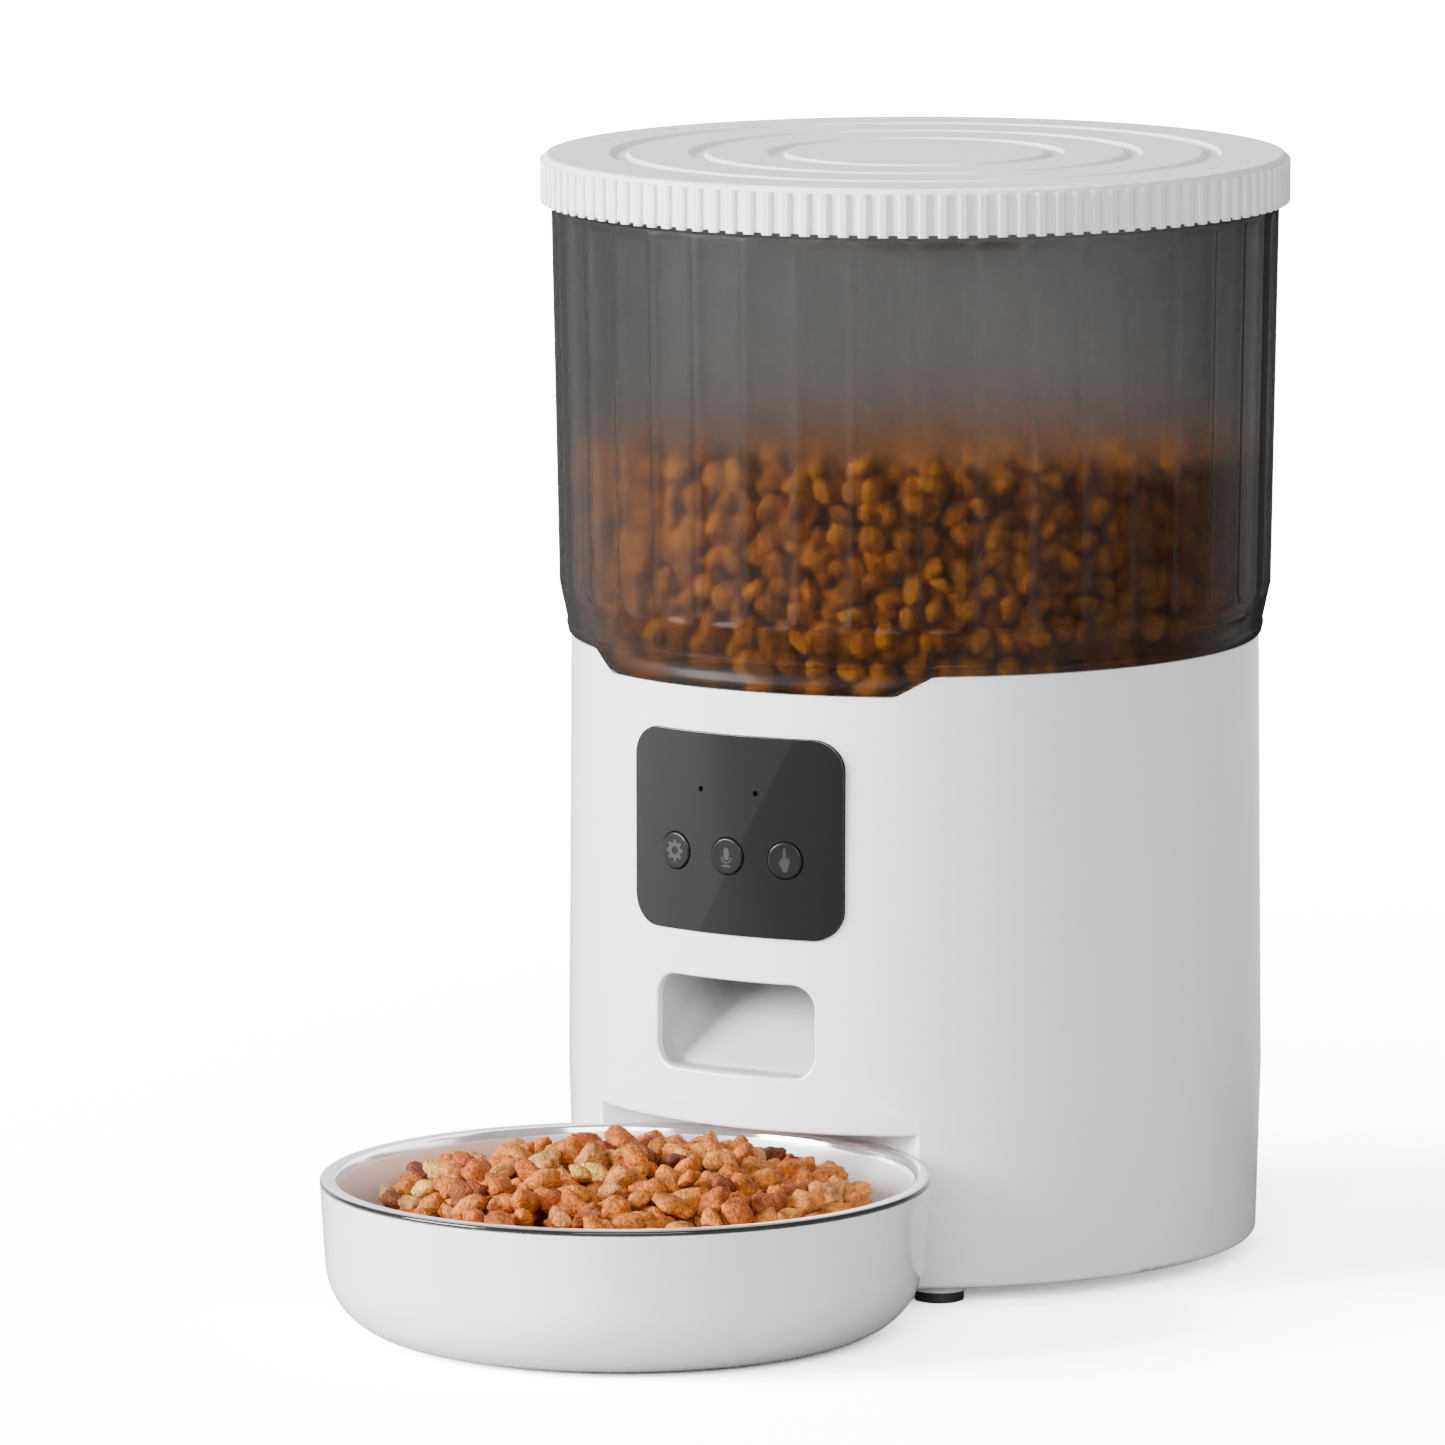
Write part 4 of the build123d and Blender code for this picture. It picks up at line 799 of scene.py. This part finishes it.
def finger_icon():
    """A hand with one raised finger."""
    hand = [(-0.5, -3.1), (0.9, -3.1), (1.1, -1.8), (1.65, -0.6), (1.5, 0.3), (0.8, 0.75), (0.45, 0.9)]
    hand += arc(0.05, 3.0, 0.42, 0, 180, 8)
    hand += [(-0.4, 0.8), (-1.2, 0.2), (-1.6, -0.7), (-1.3, -1.6), (-0.75, -2.2)]
    return [hand]


def padlock_icon(shackle_turn):
    """A padlock; shackle_turn swings its shackle sideways when it is open."""
    return [
        bar(-1.6, -2.0, 1.6, 0.4),
        band(shackle_turn, 0.4, 0.85, 1.3, 0, 180),
    ]


def arrow_icon():
    """An arrow that points to the left."""
    return [bar(-1.0, -0.3, 3.0, 0.3), [(-3.0, 0.0), (-1.0, -1.2), (-1.0, 1.2)]]


def plates(name, outlines, origin, across, upright, thickness, centre):
    """Thin plates, one for each outline, from the plane through origin along across x upright."""
    points = []
    faces = []
    outwards = Vector(across).cross(Vector(upright)).normalized() * thickness
    for outline in outlines:
        start = len(points)
        count = len(outline)
        for lift in (0.0, 1.0):
            for x, y in outline:
                point = Vector(origin) + Vector(across) * x + Vector(upright) * y + outwards * lift
                points.append(tuple(point))
        faces.append(tuple(reversed(range(start, start + count))))
        faces.append(tuple(range(start + count, start + 2 * count)))
        for side in range(count):
            after = (side + 1) % count
            faces.append((start + side, start + after, start + count + after, start + count + side))
    return make_object(name, points, faces, centre, smooth=False)


BUTTON_FACE = 96.25
BUTTON_TURN = 10.45
ICON_THICKNESS = 0.06
for azimuth, button, body, outlines in (
    (-BUTTON_TURN, "left_button", "left_key", gear_icon()),
    (0.0, "middle_button", "middle_key", microphone_icon()),
    (BUTTON_TURN, "right_button", "right_key", finger_icon()),
):
    turn = math.radians(azimuth)
    low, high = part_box(button)
    facing = (math.sin(turn) * BUTTON_FACE, -math.cos(turn) * BUTTON_FACE, (low[2] + high[2]) / 2 / MM)
    across = (math.cos(turn), math.sin(turn), 0)
    icon = plates(button + "_icon", outlines, facing, across, (0, 0, 1), ICON_THICKNESS, BODY)
    icon.data.materials.append(icon_ink)
    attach(icon, body)

# the lid's marks are set into its top and stand a little above it
LID_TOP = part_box("lid_shell")[1][2] / MM
MARK_RISE = 0.1
MARK_THICKNESS = 0.25
MARK_R = 92.5
lid_marks = (
    (-79.0, padlock_icon(0.9)),
    (-90.0, arrow_icon()),
    (-101.0, padlock_icon(0.0)),
    (92.0, arrow_icon()),
    (104.0, padlock_icon(0.0)),
)
for index, (azimuth, outlines) in enumerate(lid_marks):
    turn = math.radians(azimuth)
    inwards = (-math.sin(turn), math.cos(turn), 0)
    leftwards = (-math.cos(turn), -math.sin(turn), 0)
    place = (-inwards[0] * MARK_R, -inwards[1] * MARK_R, LID_TOP + MARK_RISE)
    mark = plates(f"lid_mark_{index}", outlines, place, leftwards, inwards, MARK_THICKNESS, BODY)
    # the raised marks are coloured a light grey
    mark.data.materials.append(lid_mark_grey)
    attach(mark, "lid")


# ---------------------------------------------------------------- studio
def stage_object(name, points, faces, material):
    """A surface of the studio, in metres."""
    mesh = bpy.data.meshes.new(name)
    mesh.from_pydata(points, [], faces)
    made = bpy.data.objects.new(name, mesh)
    made.data.materials.append(material)
    bpy.context.scene.collection.objects.link(made)
    return made


# distances, in metres, along the way from the camera: the paper darkens before the object as its
# surfaces see it, and glows behind it
DARK_START = -0.2
DARK_END = -0.5
GLOW_START = -0.1
GLOW_END = 1.2
GLOW = 10.0
FLOOR_SHOWN = 6.5
BACKDROP_SHOWN = 5.5


def paper(name, glow, shown):
    """Pale grey studio paper that the camera itself sees overexposed, as in a white-ground product shot.

    What the paper reflects onto the object is plain grey paper. Seen directly, it is brighter by
    shown, and glow adds to that behind the object. From its back it isn't seen at all, so that it
    never hides the object.
    """
    material, shader, link, node = new_material(name)
    shader.inputs["Roughness"].default_value = 0.9
    shader.inputs["Specular IOR Level"].default_value = 0.0
    place = node("ShaderNodeNewGeometry")
    along = node("ShaderNodeVectorMath", operation="DOT_PRODUCT")
    along.inputs[1].default_value = AWAY
    link(place.outputs["Position"], along.inputs[0])
    distance = along.outputs["Value"]
    fade = remap(link, node, distance, 0.0, glow, GLOW_START, GLOW_END, smooth=True)
    nearer = remap(link, node, distance, 0.12, 0.45, DARK_END, DARK_START, smooth=True)
    link(nearer, shader.inputs["Base Color"])
    shader.inputs["Emission Color"].default_value = (1, 1, 1, 1)
    behind = node("ShaderNodeMath", operation="MULTIPLY")
    behind.inputs[1].default_value = 0.08
    link(fade, behind.inputs[0])
    link(behind.outputs["Value"], shader.inputs["Emission Strength"])
    bright = node("ShaderNodeBsdfDiffuse", color=(shown, shown, shown, 1))
    lit = node("ShaderNodeEmission")
    link(fade, lit.inputs["Strength"])
    both = node("ShaderNodeAddShader")
    link(bright.outputs["BSDF"], both.inputs[0])
    link(lit.outputs["Emission"], both.inputs[1])
    path = node("ShaderNodeLightPath")
    front = choose(link, node, path.outputs["Is Camera Ray"], shader.outputs["BSDF"], both.outputs["Shader"])
    unseen = node("ShaderNodeBsdfTransparent")
    surface = choose(link, node, place.outputs["Backfacing"], front, unseen.outputs["BSDF"])
    link(surface, material.node_tree.nodes["Material Output"].inputs["Surface"])
    return material


FLOOR_HALF = 6.0
floor_corners = [(x * FLOOR_HALF, y * FLOOR_HALF, 0) for x, y in ((-1, -1), (1, -1), (1, 1), (-1, 1))]
stage_object("floor", floor_corners, [(0, 1, 2, 3)], paper("floor_paper", GLOW, FLOOR_SHOWN))
BACK_LEFT = (-4.5, 1.0)
BACK_RIGHT = (0.5, 4.2)
BACK_TOP = 3.0
backdrop_corners = [
    (*BACK_LEFT, -0.01),
    (*BACK_RIGHT, -0.01),
    (*BACK_RIGHT, BACK_TOP),
    (*BACK_LEFT, BACK_TOP),
]
stage_object("backdrop", backdrop_corners, [(0, 1, 2, 3)], paper("backdrop_paper", GLOW, BACKDROP_SHOWN))

world = bpy.data.worlds.new("studio")
world.use_nodes = True
sky = world.node_tree.nodes["Background"]
sky.inputs["Color"].default_value = (1.0, 1.0, 1.0, 1)
sky.inputs["Strength"].default_value = 0.4
bpy.context.scene.world = world


def lamp(name, position, target, size, power):
    """A rectangular area light at a position, in metres, aimed at a target."""
    data = bpy.data.lights.new(name, "AREA")
    data.shape = "RECTANGLE"
    data.size, data.size_y = size
    data.energy = power
    made = bpy.data.objects.new(name, data)
    made.location = position
    away = Vector(position) - Vector(target)
    made.rotation_euler = away.to_track_quat("Z", "Y").to_euler()
    bpy.context.scene.collection.objects.link(made)
    return made


CENTRE = (0.0, 0.06, 0.16)
lamp("key", (-1.8, -2.1, 1.0), CENTRE, (1.6, 1.2), 330)
lamp("fill", (1.6, -2.3, 1.4), CENTRE, (2.2, 1.4), 78)

# the camera turns from +Y towards -X, dips below the level and rolls a little, all in degrees
CAMERA_AT = (1.7681, -2.7904, 0.6347)
CAMERA_TURN = 32.6908
CAMERA_DIP = 8.2927
CAMERA_ROLL = -0.1164
camera_data = bpy.data.cameras.new("camera")
camera_data.lens = 307.35
camera_data.sensor_width = 36.0
camera_data.clip_end = 50
camera = bpy.data.objects.new("camera", camera_data)
spin = Matrix.Rotation(math.radians(CAMERA_TURN), 4, "Z")
tilt = Matrix.Rotation(math.radians(90 - CAMERA_DIP), 4, "X")
roll = Matrix.Rotation(math.radians(CAMERA_ROLL), 4, "Z")
camera.matrix_world = Matrix.Translation(CAMERA_AT) @ spin @ tilt @ roll
bpy.context.scene.collection.objects.link(camera)
bpy.context.scene.camera = camera
